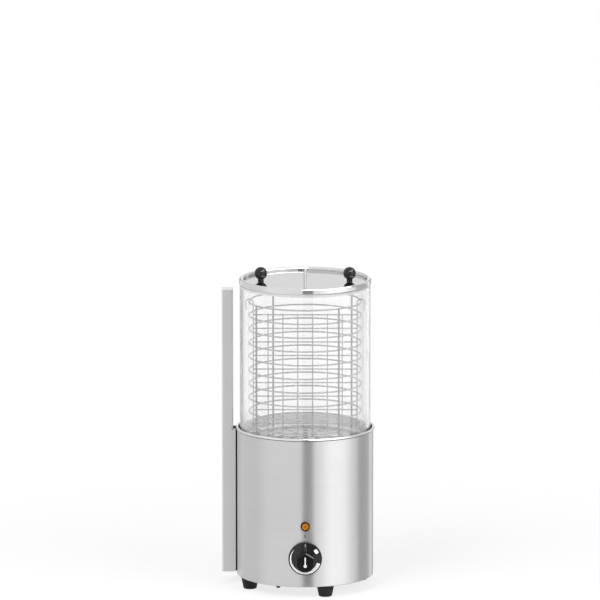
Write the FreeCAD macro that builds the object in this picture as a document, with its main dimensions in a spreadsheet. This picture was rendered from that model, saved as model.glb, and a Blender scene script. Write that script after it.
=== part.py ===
import FreeCAD, Part
import math
import os
import Sketcher

# Hot dog cooker: a steam base with a water well, a perforated plate over the well,
# a glass cylinder, a wire basket with a hook-in divider, and a lid with two flaps.
# Millimetres. +Z is up, -Y is the front with the control knob, and the origin lies
# on the floor under the axis of the base. Angles run from the front towards +X.

SIZES = {
    # Glass cylinder: it sets the width of everything stacked on the base
    "glass_radius": 100.0,
    "glass_wall": 5.0,
    "glass_height": 240.0,
    "glass_edge_round": 1.0,
    # Base shell
    "rim_level": 248.0,
    "foot_height": 17.5,
    "glass_clearance": 2.5,
    "shell_wall": 1.0,
    "flange_width": 26.0,
    # Rim rolled over the shell's top edge, and the water well under it
    "well_sheet": 0.8,
    "well_fit": 0.2,
    "bead_fit": 0.1,
    "bead_width": 1.7,
    "bead_drop": 3.5,
    "glass_seat_depth": 19.0,
    "seat_margin": 0.5,
    "seat_cove": 3.0,
    "rim_overlap": 4.0,
    "shoulder_drop": 3.5,
    "shoulder_round": 2.0,
    "shoulder_run": 18.0,
    "well_depth": 110.0,
    "well_floor_round": 8.0,
    # Perforated plate
    "plate_thickness": 1.5,
    "plate_clearance": 4.0,
    "plate_bearing": 2.5,
    "plate_hole_radius": 4.5,
    "plate_hole_inset": 11.7,
    # Wire basket
    "ring_wire_radius": 1.25,
    "upright_radius": 1.4,
    "basket_clearance": 5.2,
    "basket_headroom": 26.5,
    "weld_gap": 0.02,
    "rest_gap": 0.3,
    # Divider that hangs on the basket's top ring
    "grid_wire_radius": 1.0,
    "grid_weld_sink": 0.4,
    "grid_floor_gap": 2.2,
    "hook_radius": 6.3,
    "hook_rise": 25.0,
    "hook_leg": 12.0,
    # Lid ring
    "lid_height": 9.0,
    "lid_overhang": 1.0,
    "lid_inset": 1.0,
    "ledge_width": 5.0,
    "ledge_rise": 3.0,
    "ledge_thickness": 1.2,
    "skirt_depth": 5.0,
    "skirt_wall": 1.7,
    "skirt_clearance": 0.8,
    # Lid flaps and their hinge
    "flap_thickness": 1.0,
    "flap_clearance": 0.5,
    "barrel_radius": 2.6,
    "barrel_end_gap": 0.5,
    "knuckle_gap": 0.3,
    "hinge_pin_radius": 1.5,
    "hinge_pin_reach": 4.0,
    "running_fit": 0.05,
    # Ball knobs on the flaps
    "ball_radius": 9.8,
    "ball_neck_radius": 4.5,
    "ball_neck_height": 3.0,
    "ball_inset": 25.8,
    "ball_screw_radius": 2.0,
    "ball_screw_head_radius": 4.0,
    "ball_screw_head_height": 2.0,
    "ball_screw_reach": 9.0,
    "screw_fit": 0.1,
    # Rubber feet and their screws
    "foot_inset": 14.5,
    "foot_top_radius": 13.5,
    "foot_bottom_radius": 10.0,
    "foot_edge_round": 2.0,
    "foot_recess_radius": 6.0,
    "foot_recess_depth": 7.0,
    "foot_screw_radius": 2.0,
    "foot_screw_head_radius": 4.5,
    "foot_screw_head_height": 3.0,
    "foot_screw_reach": 6.0,
    # Bottom plate and its screws
    "bottom_thickness": 1.2,
    "bottom_fit": 0.3,
    "bottom_screw_inset": 7.5,
    "bottom_screw_radius": 1.75,
    "bottom_screw_head_radius": 3.5,
    "bottom_screw_head_height": 1.8,
    "bottom_screw_reach": 4.0,
    "vent_inset": 18.5,
    "vent_radius": 4.0,
    # Control knob
    "knob_level": 62.6,
    "knob_radius": 25.7,
    "knob_gap": 0.8,
    "knob_skirt_edge": 3.3,
    "knob_skirt_round": 0.9,
    "knob_crown": 5.3,
    "knob_crown_radius": 12.0,
    "knob_depth": 16.0,
    "grip_half_width": 13.8,
    "grip_peak": 12.4,
    "grip_eave": 3.6,
    "grip_bottom": 18.5,
    "nose_half_width": 4.4,
    "nose_inset": 2.0,
    "nose_depth": 9.0,
    "knob_recess_room": 1.8,
    # Thermostat behind the knob
    "shaft_radius": 3.0,
    "shaft_reach": 13.0,
    "shaft_tail": 14.0,
    "bush_radius": 5.0,
    "bush_reach": 6.0,
    "bush_nut_thickness": 2.5,
    "thermostat_width": 40.0,
    "thermostat_height": 40.0,
    "thermostat_depth": 31.0,
    "thermostat_setback": 5.5,
    "bulb_radius": 3.0,
    "bulb_length": 55.0,
    "bulb_rise": 10.0,
    "bulb_side": 12.0,
    "capillary_radius": 1.0,
    # Indicator lamp
    "lamp_rise": 49.7,
    "lamp_body_radius": 5.6,
    "lamp_body_depth": 26.0,
    "lamp_fit": 0.1,
    "lens_radius": 6.0,
    "lens_back": 0.4,
    "lens_rise": 3.6,
    "bezel_wall": 1.3,
    "bezel_rise": 2.4,
    "lamp_nut_thickness": 3.0,
    "nut_setback": 2.2,
    # Safety limiter with its reset button
    "limiter_gap": 1.0,
    "limiter_radius": 11.0,
    "limiter_height": 24.0,
    "limiter_bush_radius": 5.0,
    "limiter_bush_drop": 2.0,
    "reset_radius": 3.0,
    "reset_drop": 3.5,
    "reset_stem": 14.0,
    "reset_room": 4.0,
    "reset_round": 1.0,
    # Heater under the well
    "heater_inset": 10.0,
    "heater_plate_thickness": 4.0,
    "element_inset": 18.0,
    "element_radius": 4.0,
    "element_tail_radius": 2.0,
    "element_tail": 18.0,
    "heater_clamp_margin": 6.0,
    "heater_clamp_thickness": 2.0,
    "heater_stud_radius": 3.0,
    "heater_stud_reach": 3.0,
    "heater_nut_thickness": 5.0,
    # Terminal block and wiring
    "block_width": 44.0,
    "block_depth": 19.0,
    "block_height": 28.0,
    "block_screw_radius": 2.0,
    "block_screw_depth": 6.0,
    "lead_radius": 1.5,
    "lead_side": 8.0,
    "lead_drop": 4.0,
    # Cable gland, the inlet at the back
    "gland_level": 48.5,
    "gland_bore_radius": 4.0,
    "gland_inner_radius": 4.8,
    "gland_grip_start": 2.0,
    "gland_thread_radius": 8.0,
    "gland_thread_length": 14.0,
    "gland_flange_radius": 12.0,
    "gland_flange_thickness": 3.0,
    "gland_dome_radius": 9.5,
    "gland_dome_length": 14.0,
    "gland_dome_round": 3.0,
    "gland_nut_thickness": 5.0,
    # Side post, its packing piece and screws
    "post_setback": 0.5,
    "post_gap": 5.8,
    "post_width": 17.2,
    "post_depth": 25.0,
    "post_lift": 1.5,
    "post_height": 440.2,
    "post_corner": 2.0,
    "post_wall": 1.5,
    "post_cap_thickness": 1.5,
    "post_cap_plug": 8.0,
    "post_cap_fit": 0.1,
    "packing_side_gap": 4.0,
    "packing_lift": 1.7,
    "packing_gap": 0.5,
    "packing_fit": 0.05,
    "flange_gap": 2.2,
    "flange_drop": 5.0,
    "relief_radius": 1.8,
    "relief_inset": 0.9,
    "relief_depth": 4.5,
    "post_screw_radius": 2.0,
    "post_screw_head_radius": 4.0,
    "post_screw_head_height": 2.5,
    "post_screw_reach": 3.0,
    "post_screw_seat": 0.2,
    # Shared by all hexagon nuts, and one overrun for all cuts
    "nut_wall": 3.0,
    "overrun": 2.0,
}

RING_COUNT = 11
UPRIGHT_COUNT = 4
UPRIGHT_FIRST_ANGLE = 34.5
PLATE_HOLE_COUNTS = [8, 16, 16, 16]
GRID_COLUMNS = 8
GRID_ROWS = 10
HOOK_LEAN_ANGLE = 8.0
KNUCKLE_COUNT = 11
FOOT_ANGLES = [20, 110, 200, 290]
BOTTOM_SCREW_ANGLES = [40, 130, 220, 310]
VENT_COUNT = 12
LIMITER_ANGLE = -26.6
ELEMENT_SWEEP_ANGLE = 330
BLOCK_POLES = 3

BEAD_ROUND_SHARE = 0.45
BEAD_ROLL_SHARE = 0.85
LID_ROUND_SHARE = 0.42
BALL_SEAT_SHARE = 0.9
GRIP_ROUND_SHARE = 0.94
EDGE_ROUND_SHARE = 0.6
GRIP_EDGE_SHARE = 0.1
INNER_ROUND_SHARE = 0.5
POST_SCREW_SHARES = [0.15, 0.5, 0.85]

doc = FreeCAD.newDocument("HotDogCooker")
sheet = doc.addObject("Spreadsheet::Sheet", "Sizes")
for row, (alias, number) in enumerate(SIZES.items(), start=1):
    sheet.set(f"A{row}", alias.replace("_", " "))
    sheet.set(f"B{row}", str(number))
    sheet.setAlias(f"B{row}", alias)
doc.recompute()

pieces = []


class Size:
    """A number together with the formula, in cells of the sheet, that it comes from."""

    def __init__(self, value, formula):
        self.value = value
        self.formula = formula

    def __add__(self, other):
        other = as_size(other)
        return Size(self.value + other.value, f"({self.formula} + {other.formula})")

    def __sub__(self, other):
        other = as_size(other)
        return Size(self.value - other.value, f"({self.formula} - {other.formula})")

    def __mul__(self, factor):
        return Size(self.value * factor, f"({self.formula} * {factor})")

    def __truediv__(self, factor):
        return Size(self.value / factor, f"({self.formula} / {factor})")

    def __neg__(self):
        return Size(-self.value, f"(0 - {self.formula})")


def as_size(number):
    """A plain number as a Size; a Size stays as it is."""
    return number if isinstance(number, Size) else Size(number, str(number))


def root_of(size):
    """The square root of an area."""
    return Size(math.sqrt(size.value), f"sqrt({size.formula})")


def squared(size):
    """A length times itself."""
    return Size(size.value ** 2, f"({size.formula} ^ 2)")


class Sheet:
    """The sheet's cells as attributes, each a Size."""


s = Sheet()
for alias in SIZES:
    setattr(s, alias, Size(float(sheet.get(alias)), f"Sizes.{alias}"))

# Radii and levels that follow from the sizes
glass_inner = s.glass_radius - s.glass_wall
well_inner = s.glass_radius + s.glass_clearance
well_outer = well_inner + s.well_sheet
shell_inner = well_outer + s.well_fit
base_radius = shell_inner + s.shell_wall
bead_leg = base_radius + s.bead_fit
bead_outer = bead_leg + s.bead_width
shell_top = s.rim_level - s.well_sheet
seat_level = s.rim_level - s.glass_seat_depth
seat_inner = glass_inner - s.seat_margin
plate_level = seat_level - s.plate_thickness
plate_radius = seat_inner - s.plate_clearance
bearing_inner = plate_radius - s.plate_bearing
well_radius = bearing_inner - s.shoulder_run
shoulder_level = plate_level - s.shoulder_drop
well_floor = s.rim_level - s.well_depth
glass_top = seat_level + s.glass_height
flange_inner = base_radius - s.flange_width
foot_circle = base_radius - s.foot_inset
bottom_screw_circle = base_radius - s.bottom_screw_inset
limiter_circle = shell_inner - s.limiter_radius - s.limiter_gap
bottom_level = s.foot_height + s.shell_wall
bottom_top = bottom_level + s.bottom_thickness
upright_centre = glass_inner - s.basket_clearance - s.upright_radius
ring_radius = upright_centre - s.upright_radius - s.weld_gap - s.ring_wire_radius
low_ring_level = seat_level + s.rest_gap + s.ring_wire_radius
top_ring_level = glass_top - s.basket_headroom
ledge_top = glass_top + s.ledge_rise
flap_top = ledge_top + s.flap_thickness
hinge_level = ledge_top + s.barrel_radius
rim_inner = glass_inner - s.lid_inset
ledge_inner = rim_inner - s.ledge_width
heater_top = well_floor - s.well_sheet
heater_radius = well_radius - s.heater_inset
element_circle = heater_radius - s.element_inset
element_level = heater_top - s.heater_plate_thickness - s.element_radius - s.weld_gap
clamp_top = element_level - s.element_radius - s.weld_gap
lamp_level = s.knob_level + s.lamp_rise
bush_nut_radius = s.bush_radius + s.nut_wall
thermostat_front = base_radius - s.thermostat_setback
thermostat_back = thermostat_front - s.thermostat_depth
post_inner = base_radius + s.post_gap
post_back = s.post_setback + s.post_depth
post_bottom = s.foot_height + s.post_lift
flange_top = s.rim_level - s.flange_drop
post_middle = s.post_setback + s.post_depth / 2


def numbers(sizes):
    """The values of a row of Sizes or plain numbers."""
    return [as_size(size).value for size in sizes]


def bind(thing, **sizes):
    """Ties properties of an object to formulas of the sheet."""
    for name, size in sizes.items():
        thing.setExpression(name, as_size(size).formula)


def place(thing, at=(0, 0, 0), turn=None):
    """Puts an object at a point, turned about an axis (axis, degrees)."""
    rotation = FreeCAD.Rotation()
    if turn:
        rotation = FreeCAD.Rotation(FreeCAD.Vector(*turn[0]), turn[1])
    thing.Placement = FreeCAD.Placement(FreeCAD.Vector(*numbers(at)), rotation)
    for axis, size in zip("xyz", at):
        if isinstance(size, Size):
            thing.setExpression(f"Placement.Base.{axis}", size.formula)
    return thing


TO_FRONT = ((1, 0, 0), 90)
TO_BACK = ((1, 0, 0), -90)
TO_LEFT = ((0, 1, 0), -90)


def cylinder(name, radius, height, at=(0, 0, 0), turn=None):
    """A cylinder that rises from its place along its own axis."""
    thing = doc.addObject("Part::Cylinder", name)
    bind(thing, Radius=radius, Height=height)
    return place(thing, at, turn)


def box(name, length, width, height, at=(0, 0, 0)):
    """A box from its lowest corner."""
    thing = doc.addObject("Part::Box", name)
    bind(thing, Length=length, Width=width, Height=height)
    return place(thing, at)


def torus(name, ring, wire, at=(0, 0, 0)):
    """A round wire bent into a level ring."""
    thing = doc.addObject("Part::Torus", name)
    bind(thing, Radius1=ring, Radius2=wire)
    return place(thing, at)


def hex_nut(name, corner_radius, hole_radius, height, at, turn=None):
    """A hexagon nut with its hole, rising from its place."""
    prism = doc.addObject("Part::Prism", name + "_prism")
    prism.Polygon = 6
    bind(prism, Circumradius=corner_radius, Height=height)
    place(prism, at, turn)
    hole = cylinder(name + "_hole", hole_radius, height, at, turn)
    return cut(name, prism, hole)


def together(kind, name, members):
    """A boolean or a group of several objects."""
    thing = doc.addObject(kind, name)
    if kind == "Part::Compound":
        thing.Links = members
    else:
        thing.Shapes = members
    return thing


def fuse(name, *members):
    """One solid from several that overlap or share faces."""
    return together("Part::MultiFuse", name, list(members))


def cut(name, base, *tools):
    """A base with one or more tools, clear of each other, taken out of it."""
    thing = doc.addObject("Part::Cut", name)
    thing.Base = base
    thing.Tool = tools[0] if len(tools) == 1 else together("Part::Compound", name + "_tools", list(tools))
    return thing


def piece(name, thing):
    """Keeps an object as one node of the part."""
    thing.Label = name
    pieces.append(thing)
    return thing


def around(radius, angle):
    """The x and y of a point on a circle, with the angle from the front towards +X."""
    return radius * math.sin(math.radians(angle)), radius * -math.cos(math.radians(angle))


def origin_part(body, role):
    """A plane or an axis of a body's own origin."""
    return next(feature for feature in body.Origin.OriginFeatures if feature.Role == role)


def hold_point(sketch, geometry, spot, across, up):
    """Ties a point of a sketch to its two distances from the origin."""
    for kind, size, axis in (("DistanceX", across, -2), ("DistanceY", up, -1)):
        if isinstance(size, Size):
            index = sketch.addConstraint(Sketcher.Constraint(kind, -1, 1, geometry, spot, size.value))
            sketch.setExpression(f"Constraints[{index}]", size.formula)
        else:
            sketch.addConstraint(Sketcher.Constraint("PointOnObject", geometry, spot, axis))


def rounded_corner(before, corner, after, radius):
    """The two tangent points and the centre of an arc in a corner."""
    to_before = (before - corner).normalize()
    to_after = (after - corner).normalize()
    half_angle = to_before.getAngle(to_after) / 2
    reach = radius / math.tan(half_angle)
    middle = (to_before + to_after).normalize()
    centre = corner + middle * (radius / math.sin(half_angle))
    return corner + to_before * reach, corner + to_after * reach, centre


def arc_between(centre, radius, first, last):
    """An arc that runs anticlockwise from one point to another."""
    circle = Part.Circle(centre, FreeCAD.Vector(0, 0, 1), radius)
    start = math.atan2(first.y - centre.y, first.x - centre.x)
    end = math.atan2(last.y - centre.y, last.x - centre.x)
    return Part.ArcOfCircle(circle, start, end)


def outline(body, name, role, corners):
    """A closed sketch through corners (across, up) or (across, up, rounding)."""
    sketch = body.newObject("Sketcher::SketchObject", name)
    sketch.AttachmentSupport = [(origin_part(body, role), "")]
    sketch.MapMode = "FlatFace"
    count = len(corners)
    points = [FreeCAD.Vector(*numbers(corner[:2]), 0) for corner in corners]
    arrive = list(points)
    leave = list(points)
    centres = [None] * count
    for i, corner in enumerate(corners):
        if len(corner) == 3:
            before, after = points[i - 1], points[(i + 1) % count]
            arrive[i], leave[i], centres[i] = rounded_corner(before, points[i], after, corner[2].value)
    lines = []
    for i in range(count):
        line = Part.LineSegment(leave[i], arrive[(i + 1) % count])
        lines.append(sketch.addGeometry(line, False))
    for i, corner in enumerate(corners):
        line_in, line_out = lines[i - 1], lines[i]
        if centres[i] is None:
            sketch.addConstraint(Sketcher.Constraint("Coincident", line_in, 2, line_out, 1))
            hold_point(sketch, line_out, 1, corner[0], corner[1])
            continue
        turns_left = (arrive[i] - centres[i]).cross(leave[i] - centres[i]).z > 0
        first, last = (arrive[i], leave[i]) if turns_left else (leave[i], arrive[i])
        arc = sketch.addGeometry(arc_between(centres[i], corner[2].value, first, last), False)
        ends = (1, 2) if turns_left else (2, 1)
        sketch.addConstraint(Sketcher.Constraint("Tangent", line_in, 2, arc, ends[0]))
        sketch.addConstraint(Sketcher.Constraint("Tangent", arc, ends[1], line_out, 1))
        index = sketch.addConstraint(Sketcher.Constraint("Radius", arc, corner[2].value))
        sketch.setExpression(f"Constraints[{index}]", corner[2].formula)
        tip = sketch.addGeometry(Part.Point(points[i]), True)
        sketch.addConstraint(Sketcher.Constraint("PointOnObject", tip, 1, line_in))
        sketch.addConstraint(Sketcher.Constraint("PointOnObject", tip, 1, line_out))
        hold_point(sketch, tip, 1, corner[0], corner[1])
    return sketch


def turned(name, corners, at=(0, 0, 0), turn=None):
    """A body turned about its own Z axis from corners (radius, height, rounding)."""
    body = doc.addObject("PartDesign::Body", name)
    sketch = outline(body, name + "_outline", "XZ_Plane", corners)
    revolution = body.newObject("PartDesign::Revolution", name + "_revolution")
    revolution.Profile = sketch
    revolution.ReferenceAxis = (sketch, ["V_Axis"])
    revolution.Angle = 360
    sketch.Visibility = False
    body.Tip = revolution
    return place(body, at, turn)


def padded(name, corners, height, at=(0, 0, 0), turn=None):
    """A body raised from corners (across, up, rounding) by a height."""
    body = doc.addObject("PartDesign::Body", name)
    pad = body.newObject("PartDesign::Pad", name + "_pad")
    pad.Profile = outline(body, name + "_outline", "XY_Plane", corners)
    bind(pad, Length=height)
    body.Tip = pad
    return place(body, at, turn)


def screw(name, head_radius, head_height, radius, reach, at, turn=None):
    """A round-headed screw: its head hangs below its place, and its shank rises from it."""
    corners = [
        (0, -head_height),
        (head_radius, -head_height, head_height * EDGE_ROUND_SHARE),
        (head_radius, 0),
        (radius, 0),
        (radius, reach),
        (0, reach),
    ]
    return turned(name, corners, at, turn)


def base_shell():
    """Brushed steel cylinder, and the flat ring welded under its lower edge."""
    body = turned("shell_wall_body", [
        (base_radius, bottom_level),
        (base_radius, shell_top),
        (shell_inner, shell_top),
        (shell_inner, bottom_level),
    ])
    through = s.shell_wall + s.overrun * 2
    side_start = shell_inner - s.overrun
    holes = [
        cylinder("shell_bush_hole", s.bush_radius + s.screw_fit, through + s.overrun,
                 (0, -thermostat_front, s.knob_level), TO_FRONT),
        cylinder("shell_lamp_hole", s.lamp_body_radius + s.lamp_fit, through,
                 (0, -side_start, lamp_level), TO_FRONT),
        cylinder("shell_gland_hole", s.gland_thread_radius + s.screw_fit, through,
                 (0, side_start, s.gland_level), TO_BACK),
    ]
    for i, level in enumerate(post_screw_levels()):
        holes.append(cylinder(f"shell_post_hole_{i + 1}", s.post_screw_radius + s.screw_fit, through,
                              (-side_start, post_middle, level), TO_LEFT))
    piece("base_shell", cut("base_shell", body, *holes))
    ring = turned("flange_body", [
        (flange_inner, s.foot_height),
        (base_radius, s.foot_height, s.shell_wall * EDGE_ROUND_SHARE),
        (base_radius, bottom_level),
        (flange_inner, bottom_level),
    ])
    floor = floor_holes("flange", s.foot_height - s.overrun, through)
    piece("base_flange", cut("base_flange", ring, *floor))


def floor_holes(owner, level, height):
    """Cutters for the foot screws, bottom screws and limiter bush that pass through the floor."""
    holes = []
    rows = (
        ("foot_hole", foot_circle, FOOT_ANGLES, s.foot_screw_radius),
        ("screw_hole", bottom_screw_circle, BOTTOM_SCREW_ANGLES, s.bottom_screw_radius),
        ("bush_hole", limiter_circle, [LIMITER_ANGLE], s.limiter_bush_radius),
    )
    for label, circle, angles, radius in rows:
        for i, angle in enumerate(angles):
            name = f"{owner}_{label}_{i + 1}"
            holes.append(cylinder(name, radius + s.screw_fit, height, (*around(circle, angle), level)))
    return holes


def well_rim():
    """Rolled rim: a bead over the shell's top edge, the wall of the mouth, and the seat for the glass."""
    bead_round = s.bead_drop * BEAD_ROUND_SHARE
    roll = s.bead_width * BEAD_ROLL_SHARE
    piece("well_rim", turned("well_rim", [
        (seat_inner, plate_level),
        (seat_inner, seat_level),
        (well_inner, seat_level, s.seat_cove),
        (well_inner, s.rim_level, roll),
        (bead_outer, s.rim_level, bead_round),
        (bead_outer, s.rim_level - s.bead_drop, roll),
        (bead_leg, s.rim_level - s.bead_drop),
        (bead_leg, shell_top),
        (well_outer, shell_top),
        (well_outer, plate_level, s.seat_cove + s.well_sheet),
    ]))


def water_well():
    """Bowl whose flange lies under the rim's seat and carries the plate."""
    flange_outer = seat_inner + s.rim_overlap
    piece("water_well", turned("water_well", [
        (0, well_floor),
        (well_radius, well_floor, s.well_floor_round),
        (well_radius, shoulder_level, s.shoulder_round),
        (bearing_inner, plate_level),
        (flange_outer, plate_level),
        (flange_outer, plate_level - s.well_sheet),
        (bearing_inner, plate_level - s.well_sheet),
        (well_radius + s.well_sheet, shoulder_level - s.well_sheet),
        (well_radius + s.well_sheet, heater_top, s.well_floor_round + s.well_sheet),
        (0, heater_top),
    ]))


def bottom_plate():
    """Disc that lies on the base's flange, with vents, and its four screws."""
    disc = cylinder("bottom_disc", shell_inner - s.bottom_fit, s.bottom_thickness, (0, 0, bottom_level))
    start = bottom_level - s.overrun
    height = s.bottom_thickness + s.overrun * 2
    holes = floor_holes("bottom", start, height)
    for i in range(VENT_COUNT):
        x, y = around(flange_inner - s.vent_inset, i * 360 / VENT_COUNT)
        holes.append(cylinder(f"vent_{i + 1}", s.vent_radius, height, (x, y, start)))
    piece("bottom_plate", cut("bottom_plate", disc, *holes))
    reach = s.shell_wall + s.bottom_thickness + s.bottom_screw_reach
    screws = []
    for i, angle in enumerate(BOTTOM_SCREW_ANGLES):
        x, y = around(bottom_screw_circle, angle)
        screws.append(screw(f"bottom_screw_{i + 1}", s.bottom_screw_head_radius, s.bottom_screw_head_height,
                            s.bottom_screw_radius, reach, (x, y, s.foot_height)))
    piece("bottom_screws", together("Part::Compound", "bottom_screws", screws))


def feet():
    """Four tapered rubber feet, each with a recess for its screw."""
    hole = s.foot_screw_radius + s.screw_fit
    corners = [
        (s.foot_recess_radius, 0),
        (s.foot_bottom_radius, 0, s.foot_edge_round),
        (s.foot_top_radius, s.foot_height),
        (hole, s.foot_height),
        (hole, s.foot_recess_depth),
        (s.foot_recess_radius, s.foot_recess_depth),
    ]
    reach = bottom_top + s.foot_screw_reach - s.foot_recess_depth
    screws = []
    for i, angle in enumerate(FOOT_ANGLES):
        x, y = around(foot_circle, angle)
        piece(f"foot_{i + 1}", turned(f"foot_{i + 1}", corners, (x, y, 0)))
        screws.append(screw(f"foot_screw_{i + 1}", s.foot_screw_head_radius, s.foot_screw_head_height,
                            s.foot_screw_radius, reach, (x, y, s.foot_recess_depth)))
    piece("foot_screws", together("Part::Compound", "foot_screws", screws))


def heater():
    """Plate, tubular element, clamp disc, stud and nut under the floor of the well."""
    hole_radius = s.heater_stud_radius + s.screw_fit
    plate_bottom = heater_top - s.heater_plate_thickness
    plate = cylinder("heater_disc", heater_radius, s.heater_plate_thickness, (0, 0, plate_bottom))
    hole = cylinder("heater_disc_hole", hole_radius, s.heater_plate_thickness, (0, 0, plate_bottom))
    piece("heater_plate", cut("heater_plate", plate, hole))

    ring = torus("element_ring", element_circle, s.element_radius, (0, 0, element_level))
    ring.Angle3 = ELEMENT_SWEEP_ANGLE
    half_gap = (360 - ELEMENT_SWEEP_ANGLE) / 2
    ring.Placement.Rotation = FreeCAD.Rotation(FreeCAD.Vector(0, 0, 1), 90 + half_gap)
    tails = []
    for side, x in enumerate(element_tail_places()):
        y = element_tail_depth()
        tails.append(cylinder(f"element_tail_{side + 1}", s.element_tail_radius, s.element_tail,
                              (x, y, element_level - s.element_tail)))
    piece("heating_element", fuse("heating_element", ring, *tails))

    clamp_level = clamp_top - s.heater_clamp_thickness
    clamp_radius = element_circle + s.element_radius + s.heater_clamp_margin
    disc = cylinder("clamp_disc", clamp_radius, s.heater_clamp_thickness, (0, 0, clamp_level))
    openings = [cylinder("clamp_hole", hole_radius, s.heater_clamp_thickness, (0, 0, clamp_level))]
    for side, x in enumerate(element_tail_places()):
        openings.append(cylinder(f"clamp_tail_hole_{side + 1}", s.element_tail_radius + s.rest_gap,
                                 s.heater_clamp_thickness, (x, element_tail_depth(), clamp_level)))
    piece("heater_clamp", cut("heater_clamp", disc, *openings))

    nut_level = clamp_level - s.heater_nut_thickness
    stud_bottom = nut_level - s.heater_stud_reach
    piece("heater_stud", cylinder("heater_stud", s.heater_stud_radius, heater_top - stud_bottom,
                                  (0, 0, stud_bottom)))
    piece("heater_nut", hex_nut("heater_nut", s.heater_stud_radius + s.nut_wall,
                                s.heater_stud_radius + s.weld_gap, s.heater_nut_thickness,
                                (0, 0, nut_level)))


def element_tail_places():
    """The two sides of the element's gap, where its ends turn down."""
    half_gap = math.radians((360 - ELEMENT_SWEEP_ANGLE) / 2)
    inset = s.element_tail_radius
    side = element_circle * math.sin(half_gap) + inset
    return side, -side


def element_tail_depth():
    """How far behind the axis the element's ends lie."""
    side = element_tail_places()[0]
    return root_of(squared(element_circle) - squared(side))


def thermostat():
    """Body with its threaded bush, the bush nut on the shell, and the sensing bulb."""
    half = s.thermostat_width / 2
    low = s.knob_level - s.thermostat_height / 2
    block = box("thermostat_block", s.thermostat_width, s.thermostat_depth, s.thermostat_height,
                (-half, -thermostat_front, low))
    bush_length = base_radius + s.bush_reach - thermostat_back
    bush = cylinder("thermostat_bush", s.bush_radius, bush_length,
                    (0, -thermostat_back, s.knob_level), TO_FRONT)
    tail = thermostat_front - s.shaft_tail
    bore = cylinder("thermostat_bore", s.shaft_radius + s.running_fit,
                    base_radius + s.bush_reach + s.overrun - tail, (0, -tail, s.knob_level), TO_FRONT)
    piece("thermostat", cut("thermostat", fuse("thermostat_solid", block, bush), bore))
    piece("thermostat_nut", hex_nut("thermostat_nut", bush_nut_radius, s.bush_radius + s.weld_gap,
                                    s.bush_nut_thickness, (0, -base_radius, s.knob_level), TO_FRONT))

    top = s.knob_level + s.thermostat_height / 2
    bulb_level = well_floor + s.bulb_rise
    bulb_circle = well_radius + s.well_sheet + s.bulb_radius + s.rest_gap
    y = -root_of(squared(bulb_circle) - squared(s.bulb_side))
    capillary = cylinder("capillary", s.capillary_radius, bulb_level - top, (s.bulb_side, y, top))
    bulb = cylinder("bulb", s.bulb_radius, s.bulb_length, (s.bulb_side, y, bulb_level))
    piece("thermostat_bulb", fuse("thermostat_bulb", capillary, bulb))


def control_knob():
    """Coned skirt with a raised, gabled grip and a pointer nose, and the shaft that turns with it."""
    front = (0, -base_radius - s.knob_gap, s.knob_level)
    skirt = turned("knob_skirt", [
        (0, 0),
        (s.knob_radius, 0),
        (s.knob_radius, s.knob_skirt_edge, s.knob_skirt_round),
        (s.knob_crown_radius, s.knob_crown),
        (0, s.knob_crown),
    ], front, TO_FRONT)
    corner = s.grip_half_width * GRIP_ROUND_SHARE
    edge = s.grip_half_width * GRIP_EDGE_SHARE
    grip = padded("knob_grip", [
        (0, s.grip_peak, edge),
        (-s.grip_half_width, s.grip_eave, edge),
        (-s.grip_half_width, -s.grip_bottom, corner),
        (s.grip_half_width, -s.grip_bottom, corner),
        (s.grip_half_width, s.grip_eave, edge),
    ], s.knob_depth, front, TO_FRONT)
    nose_round = s.nose_half_width * GRIP_ROUND_SHARE
    nose_top = s.knob_radius - s.nose_inset
    nose = padded("knob_nose", [
        (-s.nose_half_width, 0),
        (s.nose_half_width, 0),
        (s.nose_half_width, nose_top, nose_round),
        (-s.nose_half_width, nose_top, nose_round),
    ], s.nose_depth, front, TO_FRONT)
    recess_depth = s.bush_reach - s.knob_gap + s.knob_recess_room
    recess = cylinder("knob_recess", bush_nut_radius + s.knob_recess_room, recess_depth, front, TO_FRONT)
    bore_length = s.shaft_reach - s.knob_gap
    bore = cylinder("knob_bore", s.shaft_radius + s.weld_gap, bore_length, front, TO_FRONT)
    hollow = fuse("knob_hollow", recess, bore)
    piece("control_knob", cut("control_knob", fuse("knob_solid", skirt, grip, nose), hollow))
    tail = thermostat_front - s.shaft_tail + s.rest_gap
    length = base_radius + s.shaft_reach - tail
    piece("thermostat_shaft", cylinder("thermostat_shaft", s.shaft_radius, length,
                                       (0, -tail, s.knob_level), TO_FRONT))


def indicator_lamp():
    """Bezel, amber lens, lamp body and the nut that holds it from inside."""
    front = (0, -base_radius, lamp_level)
    bore = s.lens_radius + s.weld_gap
    bezel_radius = s.lens_radius + s.bezel_wall
    piece("lamp_bezel", turned("lamp_bezel", [
        (bore, 0),
        (bezel_radius, 0),
        (bezel_radius, s.bezel_rise, (bezel_radius - bore) * BEAD_ROUND_SHARE),
        (bore, s.bezel_rise, (bezel_radius - bore) * BEAD_ROUND_SHARE),
    ], front, TO_FRONT))
    piece("lamp_lens", turned("lamp_lens", [
        (0, s.lens_back),
        (s.lens_radius, s.lens_back),
        (s.lens_radius, s.lens_rise, (s.lens_rise - s.lens_back) * EDGE_ROUND_SHARE),
        (0, s.lens_rise),
    ], front, TO_FRONT))
    back = base_radius - s.lamp_body_depth
    piece("lamp_body", cylinder("lamp_body", s.lamp_body_radius, s.lamp_body_depth + s.lens_back,
                                (0, -back, lamp_level), TO_FRONT))
    nut_back = shell_inner - s.nut_setback - s.lamp_nut_thickness
    piece("lamp_nut", hex_nut("lamp_nut", s.lamp_body_radius + s.nut_wall, s.lamp_body_radius + s.weld_gap,
                              s.lamp_nut_thickness, (0, -nut_back, lamp_level), TO_FRONT))


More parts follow.
